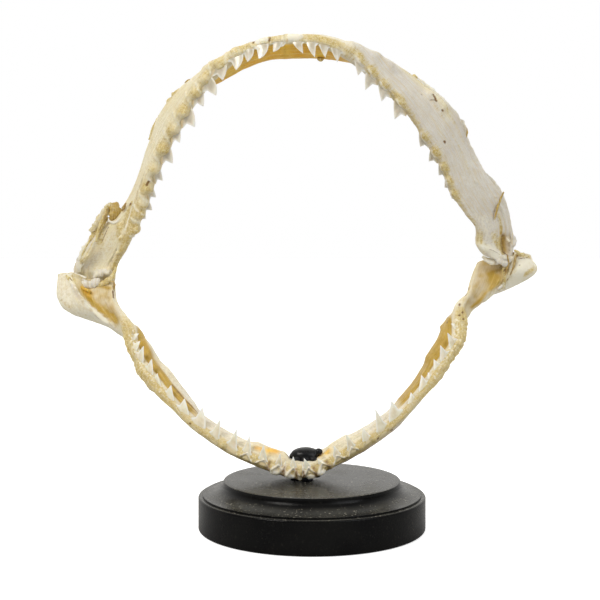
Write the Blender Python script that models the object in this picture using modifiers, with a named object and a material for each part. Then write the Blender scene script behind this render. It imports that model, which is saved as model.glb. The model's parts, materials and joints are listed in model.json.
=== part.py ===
"""Shark jaw, dried and spread open, on a turned black base. Sizes in mm here, metres in the scene.
Origin: centre of the base's underside. +Z up, the mouth opens towards -Y, +X is the viewer's right."""

import math

import bmesh
import bpy
import numpy as np

MM = 0.001
GAP = 0.3  # clearance between pieces that touch

# Turned wooden base
BASE_RADIUS = 60.0
BASE_HEIGHT = 25.4
TOP_RADIUS = 46.7  # flat top disc
LIP_DROP = 1.2  # crisp edge under the top disc
COVE_RADIUS = 57.6  # outer end of the hollow moulding
COVE_Z = 18.5
GROOVE = 0.9
EDGE_ROUND = 1.0
BASE_STEPS = 48

# Filled screw head that holds the jaw to the base
KNOB_CENTRE = (-3.4, 2.4, 38.4)
KNOB_SIZE = (8.2, 5.6, 3.9)  # half-lengths
KNOB_LOBES = 5

# Jaw halves
RINGS = 34  # cross-sections along one half
SIDE_POINTS = 8  # points along each face of a cross-section
SECTION_POWER = 5.0  # how square the ends of a cross-section are
UPPER_RIM = 0.95  # where the rim of the muscle hollow lies, from tooth edge 0 to back edge 1
LOWER_RIM = 0.69
SOCKET = -4.0  # how far the joint end of a lower half is hollowed
CONDYLE = 2.5  # how far the joint end of an upper half bulges
END_ROUNDING = ((1.2, 0.86), (2.0, 0.55))  # how far past the last section, and its size there
END_TIP = 2.2
RIM_FALL = 1.6  # how steeply the outer face falls away beyond the rim, times the hollow's depth
INNER_DIP = 0.75  # how far the inner face follows the hollow
UPPER_MIDLINE = -14.5  # x of each symphysis
LOWER_MIDLINE = -5.3

# Stations from the symphysis to the joint. Each row: a point on the tooth edge (x, y, z), the
# point on the back edge of the blade (x, y, z), thickness at the tooth edge, thickness at the
# back edge, and depth of the muscle hollow in the outer face.
UPPER_LEFT = (
    (-14.5, -6.1, 254.3, -14.5, 9.3, 252.9, 4.5, 13.6, 0),
    (-35.7, -3.0, 249.4, -37.1, 12.8, 247.6, 5.5, 13, 0),
    (-50.6, 2.8, 240.5, -53.7, 20.0, 240.1, 6.5, 12.5, 0),
    (-60.2, 9.9, 229.4, -68.5, 28.0, 234.2, 8, 10, 0),
    (-70.7, 19.2, 215.0, -83.3, 36.2, 222.6, 8, 8, 0),
    (-81.7, 30.1, 198.1, -93.7, 49.2, 202.7, 8, 7, 0),
    (-89.6, 40.1, 182.7, -100.9, 59.9, 185.8, 8, 7, 0),
    (-94.7, 48.5, 169.6, -107.1, 68.3, 172.3, 8, 7, 0.5),
    (-99.8, 56.1, 157.8, -123.3, 67.2, 157.2, 7, 6, 2),
    (-106.7, 63.9, 145.7, -134.4, 70.1, 143.3, 7, 6, 3),
    (-112.5, 69.6, 136.9, -138.6, 76.7, 137.3, 8, 7, 2),
    (-114.9, 74.8, 127.6, -137.2, 81.4, 126.3, 9, 8, 1),
)
UPPER_RIGHT = (
    (-14.5, -6.1, 254.3, -14.5, 9.3, 252.9, 4.5, 13.6, 0),
    (4.0, -5.7, 253.6, 4.5, 10.3, 253.0, 5.5, 13, 0),
    (19.6, -1.8, 247.6, 22.4, 15.1, 251.1, 6.5, 12, 0),
    (34.6, 6.2, 235.2, 43.1, 22.0, 245.2, 8, 9.5, 0),
    (47.9, 14.0, 223.0, 61.5, 27.6, 234.6, 8, 8, 0),
    (59.0, 22.8, 209.4, 77.0, 33.7, 221.0, 8, 6.5, 0),
    (70.5, 32.8, 193.9, 88.8, 45.7, 202.7, 8, 6.5, 0),
    (78.5, 42.9, 178.4, 101.2, 52.6, 186.6, 8, 6, 0.5),
    (87.4, 49.8, 167.6, 111.0, 59.8, 176.1, 7, 6, 1),
    (94.0, 56.1, 157.8, 115.7, 69.6, 162.5, 7, 6, 1.5),
    (95.1, 61.3, 149.8, 118.2, 73.2, 151.4, 8, 6, 1),
    (98.8, 64.8, 144.2, 117.5, 74.4, 142.6, 9, 7, 0.5),
)
LOWER_LEFT = (
    (-5.3, -8.0, 32.2, -5.3, 8.0, 31.5, 8, 13.4, 0),
    (-34.2, -2.3, 39.3, -33.9, 14.2, 38.1, 9, 10.5, 0),
    (-61.1, 8.9, 52.9, -61.2, 25.4, 52.0, 8, 9.5, 0),
    (-86.0, 26.6, 74.4, -83.5, 43.3, 76.0, 8, 10, 0),
    (-99.8, 41.3, 91.8, -98.2, 58.2, 92.0, 10, 10, 0),
    (-102.1, 49.0, 101.5, -108.4, 65.2, 97.0, 9.5, 9.5, 0.3),
    (-105.9, 54.1, 107.7, -124.4, 63.6, 104.7, 6.5, 7, 1.5),
    (-108.9, 57.7, 112.0, -140.7, 61.7, 111.4, 6, 6, 2.5),
    (-111.8, 61.8, 116.9, -147.7, 64.0, 118.5, 6, 6, 2.8),
    (-113.9, 68.2, 124.7, -146.0, 72.1, 131.3, 7, 6, 2),
)
LOWER_RIGHT = (
    (-5.3, -8.0, 32.2, -5.3, 8.0, 31.5, 8, 13.4, 0),
    (20.7, -0.2, 41.9, 20.3, 16.3, 41.3, 9, 10.5, 0),
    (45.0, 11.4, 55.9, 44.7, 27.9, 55.0, 8, 9.5, 0),
    (72.1, 33.7, 83.0, 70.2, 50.6, 83.7, 8, 9.5, 0),
    (81.8, 44.0, 95.4, 79.1, 60.8, 96.2, 9, 10, 0),
    (83.6, 52.8, 106.0, 85.5, 70.7, 105.9, 10, 10, 0.3),
    (85.1, 59.5, 114.2, 96.7, 75.7, 112.6, 7, 7, 1.2),
    (89.4, 64.1, 119.7, 114.1, 74.8, 122.4, 6, 6.5, 2.2),
    (93.7, 70.5, 127.5, 131.5, 71.2, 132.2, 6, 6, 2.8),
    (99.2, 78.1, 136.7, 129.7, 78.1, 143.1, 7, 6, 2),
)

# Torn sheets of dried muscle sheath that stand off the back edge near each upper joint. Each row:
# a point inside the blade and a point on the free edge.
CREST_THICKNESS = 1.6
LEFT_CREST = (
    ((-108.0, 66.0, 165.9), (-110.9, 63.0, 172.4)),
    ((-112.7, 66.5, 162.4), (-115.8, 62.5, 172.4)),
    ((-117.5, 67.5, 159.5), (-120.8, 63.0, 168.1)),
    ((-121.8, 68.5, 156.7), (-125.1, 64.5, 163.3)),
    ((-125.5, 69.5, 153.8), (-128.7, 66.5, 157.2)),
)
RIGHT_CREST = (
    ((113.5, 70.0, 159.6), (117.1, 69.0, 156.9)),
    ((114.7, 73.5, 153.2), (119.9, 71.5, 152.6)),
    ((114.6, 76.0, 147.3), (119.6, 74.5, 147.6)),
)

# Teeth: distance of each tooth's middle from the symphysis, along the tooth edge
UPPER_LEFT_TEETH = (5, 11, 17.5, 24.5, 32.5, 44.5, 57.5, 69.5, 82.5, 94, 106, 117, 127, 136, 145)
UPPER_RIGHT_TEETH = (4.5, 10, 16.5, 23.5, 31, 42, 53, 65, 77.5, 101, 112.5, 123, 133, 142)
LOWER_TEETH = (4.5, 12, 20, 29, 38.5, 48.5, 59, 70, 81, 92, 102.5, 112.5, 121.5, 129.5)


def material(name, colour, roughness):
    made = bpy.data.materials.new(name)
    made.use_nodes = True
    shader = made.node_tree.nodes["Principled BSDF"]
    shader.inputs["Base Color"].default_value = (*colour, 1.0)
    shader.inputs["Roughness"].default_value = roughness
    return made


def solid(name, points, faces, paint, group):
    """A closed mesh object from points in mm, with its faces turned outwards."""
    mesh = bpy.data.meshes.new(name)
    mesh.from_pydata([tuple(float(v) * MM for v in p) for p in points], [], faces)
    bm = bmesh.new()
    bm.from_mesh(mesh)
    bmesh.ops.recalc_face_normals(bm, faces=bm.faces[:])
    bmesh.ops.triangulate(bm, faces=bm.faces[:])
    bm.to_mesh(mesh)
    bm.free()
    mesh.materials.append(paint)
    made = bpy.data.objects.new(name, mesh)
    group.objects.link(made)
    return made


def hide(helper):
    helper.hide_render = True
    helper.display_type = "WIRE"


def stations(rows, at):
    """The table's columns at distances `at` along the tooth edge, on a smooth curve through the rows."""
    rows = np.array(rows, float)
    steps = np.linalg.norm(np.diff(rows[:, :3], axis=0), axis=1)
    along = np.concatenate([[0.0], np.cumsum(steps)])
    slope = np.gradient(rows, along, axis=0)
    slope[0, 1:3] = slope[0, 4:6] = 0.0  # the two halves meet without a corner
    k = np.clip(np.searchsorted(along, at, side="right") - 1, 0, len(along) - 2)
    span = (along[k + 1] - along[k])[:, None]
    u = (np.asarray(at) - along[k])[:, None] / span
    return (
        (2 * u**3 - 3 * u**2 + 1) * rows[k]
        + (u**3 - 2 * u**2 + u) * span * slope[k]
        + (3 * u**2 - 2 * u**3) * rows[k + 1]
        + (u**3 - u**2) * span * slope[k + 1]
    )


def frames(rows, at, outward):
    """Tooth-edge point, direction along the edge, direction to the back edge, outer-face direction,
    width, and the remaining columns, at each distance."""
    here = stations(rows, at)
    ahead = stations(rows, np.asarray(at) + 0.5) - stations(rows, np.maximum(np.asarray(at) - 0.5, 0))
    edge = here[:, :3]
    along = ahead[:, :3] / np.linalg.norm(ahead[:, :3], axis=1)[:, None]
    along[np.asarray(at) <= 0] = (math.copysign(1.0, rows[-1][0] - rows[0][0]), 0.0, 0.0)
    blade = here[:, 3:6] - edge
    width = np.linalg.norm(blade, axis=1)
    blade /= width[:, None]
    face = np.cross(along, blade) * outward
    face /= np.linalg.norm(face, axis=1)[:, None]
    return edge, along, blade, face, width, here[:, 6:]


def edge_length(rows):
    return float(np.linalg.norm(np.diff(np.array(rows)[:, :3], axis=0), axis=1).sum())


def section(edge, blade, face, width, front, back, hollow, rim):
    """One closed cross-section: out along the outer face and back along the inner face. The outer
    face dips into the muscle hollow, rises to its rim and falls away beyond it."""
    angles = np.linspace(0.0, math.pi, SIDE_POINTS + 1)
    u = 0.5 * (1 - np.cos(angles))
    half = 0.5 * (front + (back - front) * u)
    half *= (1 - np.abs(2 * u - 1) ** SECTION_POWER) ** 0.5
    dip = np.where(
        u < rim, hollow * np.sin(math.pi * u / rim) ** 2, RIM_FALL * hollow * (u - rim) / (1 - rim)
    )
    under = np.where(u < rim, INNER_DIP, 1.0) * dip
    outer = [edge + blade * width * a + face * (h - d) for a, h, d in zip(u, half, dip)]
    inner = [edge + blade * width * a - face * (h + d) for a, h, d in zip(u, half, under)]
    return outer + inner[-2:0:-1]


def jaw_half(name, rows, outward, midline, rim, bulge, paint, group):
    """Loft through the cross-sections, flat at the symphysis and rounded at the joint."""
    length = edge_length(rows)
    at = np.linspace(0.0, length, RINGS)
    edge, along, blade, face, width, rest = frames(rows, at, outward)
    side = math.copysign(1.0, rows[-1][0] - rows[0][0])
    rings = [
        section(edge[i], blade[i], face[i], width[i], *rest[i], rim) for i in range(RINGS)
    ]
    for point in rings[0]:
        point[0] = midline + side * GAP / 2
    end = np.array(rings[-1])
    reach = (end - edge[-1]) @ blade[-1] / width[-1]
    end += (bulge * np.sin(math.pi * np.clip(reach, 0, 1)) ** 2)[:, None] * along[-1]
    rings[-1] = list(end)
    middle = end.mean(axis=0)
    for push, shrink in END_ROUNDING:
        rings.append(list(middle + (end - middle) * shrink + along[-1] * push))
    count = len(rings[0])
    points = [p for ring in rings for p in ring]
    faces = []
    for r in range(len(rings) - 1):
        for c in range(count):
            d = (c + 1) % count
            faces.append((r * count + c, r * count + d, (r + 1) * count + d, (r + 1) * count + c))
    first, last = len(points), len(points) + 1
    points += [np.mean(rings[0], axis=0), middle + along[-1] * END_TIP]
    for c in range(count):
        d = (c + 1) % count
        faces.append((first, c, d))
        faces.append((last, (len(rings) - 1) * count + c, (len(rings) - 1) * count + d))
    return solid(name, points, faces, paint, group)


# Outlines run round the tooth: across -1..1 of its half-width, up 0..1 of its height, root below 0
BLADE_TOOTH = (
    (-1, -0.35), (-1, 0.02), (-0.42, 0.45), (0, 1), (0.28, 0.42), (0.55, 0.2), (1, 0.05), (1, -0.35)
)
SPIKE_TOOTH = (
    (-1, -0.2), (-1, 0.05), (-0.4, 0.25), (-0.06, 1), (0.06, 1), (0.3, 0.2), (1, 0.05), (1, -0.2)
)
TOOTH_FRONT = 0.35  # how far the flat outer face stands proud of the root
TOOTH_INNER = (0.72, 0.93)  # width and height of the bulged inner face, of the outer one's
TIP_THINNING = 0.75
LEAN_POWER = 1.5  # the tip leans more than the middle of the crown


def tooth(name, root, along, crown, face, width, height, lean, outline, thick, paint, group):
    """A flat-faced tooth: an outline in the plane of the edge and the crown, bulged on the inner side."""
    front, back = [], []
    for across, up in outline:
        shift = lean * max(up, 0.0) ** LEAN_POWER
        side, rise = across * width / 2, up * height
        front.append(root + along * (side + shift) + crown * rise + face * TOOTH_FRONT)
        near = root + along * (side * TOOTH_INNER[0] + shift) + crown * (rise * TOOTH_INNER[1])
        back.append(near - face * thick * (1.0 - TIP_THINNING * max(up, 0.0)))
    n = len(outline)
    faces = [tuple(range(n)), tuple(range(n, 2 * n))]
    faces += [(c, (c + 1) % n, n + (c + 1) % n, n + c) for c in range(n)]
    return solid(name, front + back, faces, paint, group)


def crest(name, rows, paint, group):
    """A curved sheet of even thickness from the blade to the free edge."""
    lift = np.array((0.0, CREST_THICKNESS / 2, 0.0))
    points = []
    for root, free in rows:
        root, free = np.array(root), np.array(free)
        points += [root - lift, free - lift, free + lift, root + lift]
    faces = [(0, 1, 2, 3), tuple(len(points) - 4 + c for c in range(4))]
    for r in range(0, len(points) - 4, 4):
        faces += [(r + c, r + (c + 1) % 4, r + 4 + (c + 1) % 4, r + 4 + c) for c in range(4)]
    return solid(name, points, faces, paint, group)


def tooth_row(half, rows, outward, places, style, row, paint):
    """Adds one row of teeth. Each takes its width from the space to its neighbours. Height grows over
    the first teeth and shrinks towards the joint, and the crowns tilt from `tilt`'s first to its last."""
    edge, along, blade, face, _, _ = frames(rows, np.array(places, float), outward)
    gaps = np.diff(np.array(places, float))
    spaces = np.minimum(np.append(gaps, gaps[-1]), np.insert(gaps, 0, gaps[0]))
    length = edge_length(rows)
    for i, place in enumerate(places):
        part = place / length
        width = min(style["width"], 0.94 * spaces[i])
        height = style["height"] * min(1.0, 0.72 + part * 1.6) * min(1.0, 2.1 * (1.0 - part) + 0.05)
        tilt = math.radians(float(np.interp(part, (0.0, 0.5), style["tilt"])))
        crown = -blade[i] * math.cos(tilt) - face[i] * math.sin(tilt)
        out = blade[i] * -math.sin(tilt) + face[i] * math.cos(tilt)
        root = edge[i] + blade[i] * style["sink"] + face[i] * style["shift"]
        hide(
            tooth(
                f"{half.name}_tooth_{i + 1}", root, along[i], crown, out, width, height,
                style["lean"] * min(1.0, 0.25 + part * 3), style["outline"], style["thick"], paint, row,
            )
        )


def join(body, row):
    """Joins everything in the collection to the body."""
    made = body.modifiers.new("join_" + row.name, "BOOLEAN")
    made.operation = "UNION"
    made.solver = "EXACT"
    made.operand_type = "COLLECTION"
    made.collection = row


def cut(body, cutter):
    """Takes the cutter's shape out of the body."""
    made = body.modifiers.new("cut_" + cutter.name, "BOOLEAN")
    made.operation = "DIFFERENCE"
    made.solver = "EXACT"
    made.object = cutter


def clean(body):
    """Closes up the slivers that the joins leave."""
    body.modifiers.new("triangles", "TRIANGULATE").ngon_method = "BEAUTY"
    made = body.modifiers.new("weld", "WELD")
    made.merge_threshold = 0.02 * MM


def turned_base(paint, group):
    """Profile from the middle of the top, down the outer side, to the middle of the underside."""
    profile = [(0.0, BASE_HEIGHT), (TOP_RADIUS - 0.4, BASE_HEIGHT), (TOP_RADIUS, BASE_HEIGHT - 0.3)]
    lip = BASE_HEIGHT - LIP_DROP
    profile.append((TOP_RADIUS, lip))
    for step in range(1, 7):
        turn = step / 6 * math.pi / 2
        profile.append(
            (
                TOP_RADIUS + (COVE_RADIUS - TOP_RADIUS) * (1 - math.cos(turn)),
                lip - (lip - COVE_Z) * math.sin(turn),
            )
        )
    profile.append((COVE_RADIUS, COVE_Z - GROOVE))
    profile.append((BASE_RADIUS - EDGE_ROUND, COVE_Z - GROOVE))
    profile.append((BASE_RADIUS - EDGE_ROUND * 0.3, COVE_Z - GROOVE - EDGE_ROUND * 0.3))
    profile.append((BASE_RADIUS, COVE_Z - GROOVE - EDGE_ROUND))
    profile.append((BASE_RADIUS, EDGE_ROUND))
    profile.append((BASE_RADIUS - EDGE_ROUND * 0.3, EDGE_ROUND * 0.3))
    profile.append((BASE_RADIUS - EDGE_ROUND, 0.0))
    profile.append((0.0, 0.0))
    mesh = bpy.data.meshes.new("stand_base")
    mesh.from_pydata(
        [(r * MM, 0.0, z * MM) for r, z in profile], [(i, i + 1) for i in range(len(profile) - 1)], []
    )
    mesh.materials.append(paint)
    made = bpy.data.objects.new("stand_base", mesh)
    group.objects.link(made)
    spin = made.modifiers.new("turned", "SCREW")
    spin.steps = spin.render_steps = BASE_STEPS
    spin.use_merge_vertices = True
    spin.merge_threshold = 0.0001
    return made


def knob(name, grow, paint, group):
    """A lumpy blob: a ball squashed to KNOB_SIZE, wavy round its rim. `grow` makes the cutter's clearance."""
    bpy.ops.mesh.primitive_uv_sphere_add(segments=18, ring_count=9, radius=1.0)
    made = bpy.context.object
    made.name = name
    for user in list(made.users_collection):
        user.objects.unlink(made)
    group.objects.link(made)
    for vertex in made.data.vertices:
        turn = math.atan2(vertex.co.y, vertex.co.x)
        swell = 1.0 + 0.1 * math.cos(KNOB_LOBES * turn + 0.6) * (1 - abs(vertex.co.z))
        x, y, z = (
            KNOB_CENTRE[k] + vertex.co[k] * (KNOB_SIZE[k] + grow) * (swell if k < 2 else 1.0)
            for k in range(3)
        )
        vertex.co = (x * MM, y * MM, z * MM)
    made.data.materials.clear()
    made.data.materials.append(paint)
    return made


for old in list(bpy.data.objects):
    bpy.data.objects.remove(old, do_unlink=True)

jaw = bpy.data.collections.new("shark_jaw")
bpy.context.scene.collection.children.link(jaw)

cartilage = material("dried_cartilage", (0.72, 0.63, 0.42), 0.45)
enamel = material("tooth_enamel", (0.78, 0.75, 0.66), 0.3)
black_paint = material("black_satin_paint", (0.02, 0.02, 0.02), 0.35)

turned_base(black_paint, jaw)
knob("stand_knob", 0.0, black_paint, jaw)
pocket = knob("knob_pocket", GAP, black_paint, jaw)
hide(pocket)

BLADES = dict(
    outline=BLADE_TOOTH, width=13.5, height=9.5, lean=3.6, thick=2.2, tilt=(52, 22), sink=1.2, shift=-0.3
)
SPIKES = dict(
    outline=SPIKE_TOOTH, width=10.5, height=8.5, lean=3.6, thick=2.0, tilt=(60, 30), sink=1.0, shift=-1.2
)
HALVES = (
    ("upper_jaw_left", UPPER_LEFT, -1, UPPER_MIDLINE, UPPER_RIM, CONDYLE, UPPER_LEFT_TEETH, BLADES),
    ("upper_jaw_right", UPPER_RIGHT, 1, UPPER_MIDLINE, UPPER_RIM, CONDYLE, UPPER_RIGHT_TEETH, BLADES),
    ("lower_jaw_left", LOWER_LEFT, 1, LOWER_MIDLINE, LOWER_RIM, SOCKET, LOWER_TEETH, SPIKES),
    ("lower_jaw_right", LOWER_RIGHT, -1, LOWER_MIDLINE, LOWER_RIM, SOCKET, LOWER_TEETH, SPIKES),
)
CRESTS = {"upper_jaw_left": LEFT_CREST, "upper_jaw_right": RIGHT_CREST}
for name, rows, outward, midline, rim, bulge, places, style in HALVES:
    half = jaw_half(name, rows, outward, midline, rim, bulge, cartilage, jaw)
    row = bpy.data.collections.new("grown_on_" + name)
    jaw.children.link(row)
    tooth_row(half, rows, outward, places, style, row, enamel)
    if name in CRESTS:
        hide(crest(name + "_crest", CRESTS[name], cartilage, row))
    join(half, row)
    if name.startswith("lower"):
        cut(half, pocket)
    clean(half)
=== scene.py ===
"""Shark jaw, dried and spread open, on a turned black base: its looks.
The pieces' tables and sizes are in mm, the scene and the photo set in metres. Origin: centre of the
base's underside, +Z up, the mouth opens towards -Y, and +X is the viewer's right."""

import json
import math

import bmesh
import bpy
import numpy as np
from mathutils import Matrix, Vector, noise

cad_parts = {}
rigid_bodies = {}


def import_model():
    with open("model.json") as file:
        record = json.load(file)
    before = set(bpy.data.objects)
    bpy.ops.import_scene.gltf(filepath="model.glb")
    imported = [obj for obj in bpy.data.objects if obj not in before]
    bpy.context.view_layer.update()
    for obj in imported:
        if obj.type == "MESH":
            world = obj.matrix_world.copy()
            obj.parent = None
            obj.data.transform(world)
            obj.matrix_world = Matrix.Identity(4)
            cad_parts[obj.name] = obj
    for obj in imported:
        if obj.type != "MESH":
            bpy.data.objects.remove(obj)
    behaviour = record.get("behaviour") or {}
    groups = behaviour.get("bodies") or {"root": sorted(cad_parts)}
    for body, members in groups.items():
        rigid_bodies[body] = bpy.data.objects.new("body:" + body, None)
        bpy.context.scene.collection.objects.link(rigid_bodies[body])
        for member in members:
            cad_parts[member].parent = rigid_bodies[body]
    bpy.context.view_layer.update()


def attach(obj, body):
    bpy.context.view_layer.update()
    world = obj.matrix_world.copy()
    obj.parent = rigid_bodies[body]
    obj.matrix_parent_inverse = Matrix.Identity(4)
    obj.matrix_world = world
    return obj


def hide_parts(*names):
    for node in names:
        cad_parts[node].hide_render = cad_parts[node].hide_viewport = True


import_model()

MM = 0.001

# ------------------------------------------------------------------------------- upper jaw
# Two curved blades of dried, varnished cartilage that meet at the symphysis. Each is lofted through
# cross-sections at its stations; the gum has dried on its outer lip, in a mound over every tooth,
# and the inner face keeps its amber membrane.

RINGS = 400  # cross-sections along a half
AROUND = 150  # points round a cross-section
SECTION_POWER = 5.0  # how square a cross-section is
RIM_FALL = 1.6  # fall of the rim behind the hollow, in depths of the hollow
INNER_DIP = 0.75  # how much of the hollow the inner face follows
END_RINGS = 9  # rings that close the joint end
END_DEPTH = 2.2
END_POWER = 0.6  # how round that end is
FIBRES_ALONG = 0.16  # how often dried fibres repeat, per mm
FIBRES_ROUND = 0.9

UPPER_MIDLINE = -14.5  # x where the two halves meet
UPPER_RIM = 0.95  # end of the hollow, from 0 at the tooth edge to 1 at the back edge
CONDYLE = 2.5  # how far the joint end bulges
UPPER_FRONT = (14.0, 40.0)  # where the thick gum over the front teeth fades into the arm

# Stations, worked out from points picked in the photo: tooth edge x, y, z; back edge x, y, z;
# thickness at the tooth edge; at the back edge; hollow
UPPER_LEFT = (
    (-14.5, -6.1, 254.3, -14.5, 9.3, 251.8, 4.5, 13.6, 0),
    (-35.7, -3, 249.4, -37.1, 12.8, 246.6, 5.5, 13, 0),
    (-50.6, 2.8, 240.5, -53.5, 20, 239.2, 6.5, 12.5, 0),
    (-60.2, 9.9, 229.4, -67.8, 28, 233.6, 8, 10, 0),
    (-70.7, 19.2, 215, -81.2, 36.2, 221.4, 8, 8, 0),
    (-81.7, 30.1, 198.1, -90.6, 49.2, 201.6, 8, 7, 0),
    (-89.6, 40.1, 182.7, -98.1, 59.9, 184.9, 8, 7, 0),
    (-94.7, 48.5, 169.6, -106.6, 68.3, 172, 8, 7, 0.5),
    (-99.8, 56.1, 157.8, -123.3, 67.2, 157.2, 7, 6, 2),
    (-106.7, 63.9, 145.7, -133.7, 70.1, 142.8, 7, 6, 2.2),
    (-112.5, 69.6, 136.9, -138.6, 76.7, 137.3, 8, 7, 1.5),
    (-114.9, 74.8, 127.6, -137.2, 81.4, 126.3, 9, 8, 1),
)
UPPER_RIGHT = (
    (-14.5, -6.1, 254.3, -14.5, 9.3, 251.8, 4.5, 13.6, 0),
    (4, -5.7, 253.6, 4.5, 10.3, 251.9, 5.5, 13, 0),
    (19.6, -1.8, 247.6, 22.4, 15.1, 250.6, 6.5, 12, 0),
    (34.6, 6.2, 235.2, 43.1, 22, 245.2, 8, 9.5, 0),
    (47.9, 14, 223, 61.5, 27.6, 234.6, 8, 8, 0),
    (59, 22.8, 209.4, 78.6, 33.7, 222.6, 8, 6.5, 0),
    (70.5, 32.8, 193.9, 89.6, 45.7, 203.2, 8, 6.5, 0),
    (78.5, 42.9, 178.4, 100.8, 52.6, 186.5, 8, 6, 0.5),
    (86.3, 49.8, 167.2, 111, 59.8, 176.1, 7, 6, 1),
    (94, 56.1, 157.8, 115.7, 69.6, 162.5, 7, 6, 1.5),
    (95.1, 61.3, 149.8, 118.2, 73.2, 151.4, 8, 6, 1),
    (98.8, 64.8, 144.2, 117.5, 74.4, 142.6, 9, 7, 0.5),
)
# Teeth, fitted to their tips in the photo: middle of the base along the edge, base width, crown
# height, lean of the tip in widths
UPPER_LEFT_TEETH = (
    (4.6, 7.5, 6, 0.2), (12.5, 8.8, 8.5, 0.3), (20.1, 8.5, 6.8, 0.3), (27.6, 10, 8, 0.3),
    (38.4, 11.5, 7.3, 0.3), (49.9, 11, 9.2, 0.3), (59, 12, 5.8, 0.3), (72.4, 13, 7.9, 0.3),
    (84.5, 13, 4.4, 0.3), (98.6, 13.5, 6.2, 0.3), (112, 13, 4.2, 0.3), (125.1, 11.5, 4, 0.3),
    (134.7, 9.5, 4.2, 0.3), (142, 8.5, 3.2, 0.3), (152.3, 8.5, 3.6, 0.3), (1, 4, 3.4, 0.2),
)
# The ninth one is missing
UPPER_RIGHT_TEETH = (
    (7.9, 8, 8, 0.22), (15.2, 8, 10.1, 0.22), (22, 8, 8.2, 0.25), (28.7, 9.5, 7, 0.26),
    (43.4, 12, 4.8, 0.33), (53, 11.5, 7, 0.33), (62.7, 12, 5.2, 0.33), (76.3, 13, 6.6, 0.33),
    (100.6, 12, 4.4, 0.33), (112.2, 11.5, 4.4, 0.33), (122.8, 10.5, 3.6, 0.33), (132.4, 10, 3.2, 0.33),
    (140.6, 8.5, 3, 0.33),
)


def curve_through(rows, at):
    """The table's columns at distances `at` along the tooth edge."""
    rows = np.array(rows, float)
    steps = np.linalg.norm(np.diff(rows[:, :3], axis=0), axis=1)
    along = np.concatenate([[0.0], np.cumsum(steps)])
    slope = np.gradient(rows, along, axis=0)
    slope[0, 1:3] = slope[0, 4:6] = 0.0
    k = np.clip(np.searchsorted(along, at, side="right") - 1, 0, len(along) - 2)
    span = (along[k + 1] - along[k])[:, None]
    u = (np.asarray(at) - along[k])[:, None] / span
    return (
        (2 * u**3 - 3 * u**2 + 1) * rows[k]
        + (u**3 - 2 * u**2 + u) * span * slope[k]
        + (3 * u**2 - 2 * u**3) * rows[k + 1]
        + (u**3 - u**2) * span * slope[k + 1]
    )


def edge_length(rows):
    return float(np.linalg.norm(np.diff(np.array(rows)[:, :3], axis=0), axis=1).sum())


def blade_frames(rows, at, outward):
    """Tooth-edge point, direction along it, direction to the back edge, outer-face direction, width
    and the thickness columns, at each distance."""
    at = np.asarray(at, float)
    here = curve_through(rows, at)
    ahead = curve_through(rows, at + 0.5) - curve_through(rows, np.maximum(at - 0.5, 0))
    edge = here[:, :3]
    along = ahead[:, :3] / np.linalg.norm(ahead[:, :3], axis=1)[:, None]
    along[at <= 0] = (math.copysign(1.0, rows[-1][0] - rows[0][0]), 0.0, 0.0)
    blade = here[:, 3:6] - edge
    width = np.linalg.norm(blade, axis=1)
    blade /= width[:, None]
    face = np.cross(along, blade) * outward
    face /= np.linalg.norm(face, axis=1)[:, None]
    return edge, along, blade, face, width, here[:, 6:]


def ease(low, high, x):
    """0 up to low, rising smoothly to 1 from high on."""
    t = np.clip((x - low) / (high - low), 0.0, 1.0)
    return t * t * (3 - 2 * t)


def band(x, low, high, soft):
    """1 between low and high, fading over `soft` at both ends."""
    return ease(low - soft, low + soft, x) * (1 - ease(high - soft, high + soft, x))


def spot(a, r, a0, r0, da, dr):
    """1 at a0, r0, fading over da along the jaw and dr round it."""
    return np.exp(-(((a - a0) / da) ** 2) - ((r - r0) / dr) ** 2)


def streak(a, r, a0, r0, a1, r1, wide):
    """1 along the line from a0, r0 to a1, r1, fading over `wide` mm beside it."""
    da, dr = a1 - a0, r1 - r0
    part = np.clip(((a - a0) * da + (r - r0) * dr) / max(da * da + dr * dr, 1e-9), 0.0, 1.0)
    return np.exp(-((a - a0 - part * da) ** 2 + (r - r0 - part * dr) ** 2) / wide**2)


def marks(a, r, rows):
    """Sum of streaks: rows of a0, r0, a1, r1, wide and height or depth of colour."""
    return sum((depth * streak(a, r, *place) for *place, depth in rows), np.zeros(a.shape))


def wrinkles(a, r, seed):
    """Noise drawn out along the jaw, like dried fibres."""
    return ripple(np.stack([a * FIBRES_ALONG, r * FIBRES_ROUND, 0 * a], axis=-1), 1.0, seed)


def ripple(points, size, seed):
    """Smooth noise from -1 to 1 over the points, with lumps of about `size` mm."""
    shift = Vector((seed * 7.13, seed * 3.7, seed * 11.9))
    flat = points.reshape(-1, 3) / size
    values = [noise.noise(Vector(p) + shift) for p in flat]
    return np.array(values).reshape(points.shape[:-1])


def outward_normals(rings):
    """Unit normals of a grid of rings, pointing away from each ring's middle."""
    round_step = np.roll(rings, -1, 1) - np.roll(rings, 1, 1)
    long_step = np.gradient(rings, axis=0)
    normal = np.cross(long_step, round_step)
    normal /= np.linalg.norm(normal, axis=2)[..., None] + 1e-9
    out = rings - rings.mean(axis=1)[:, None]
    return normal * math.copysign(1.0, float((normal * out).sum()))


def ring_faces(rings, around, start=0):
    """Quads between rings of points, the first ring starting at point `start`."""
    return [
        (
            start + row * around + c,
            start + row * around + (c + 1) % around,
            start + (row + 1) * around + (c + 1) % around,
            start + (row + 1) * around + c,
        )
        for row in range(rings - 1)
        for c in range(around)
    ]


def fan_faces(hub, around, start=0):
    """Triangles that close the ring starting at point `start` to the point `hub`."""
    return [(hub, start + c, start + (c + 1) % around) for c in range(around)]


def keep_masks(mesh, masks):
    for key, values in masks.items():
        mesh.attributes.new(key, "FLOAT", "POINT").data.foreach_set("value", values)


def put_in_scene(name, data):
    made = bpy.data.objects.new(name, data)
    bpy.context.scene.collection.objects.link(made)
    return made


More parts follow.
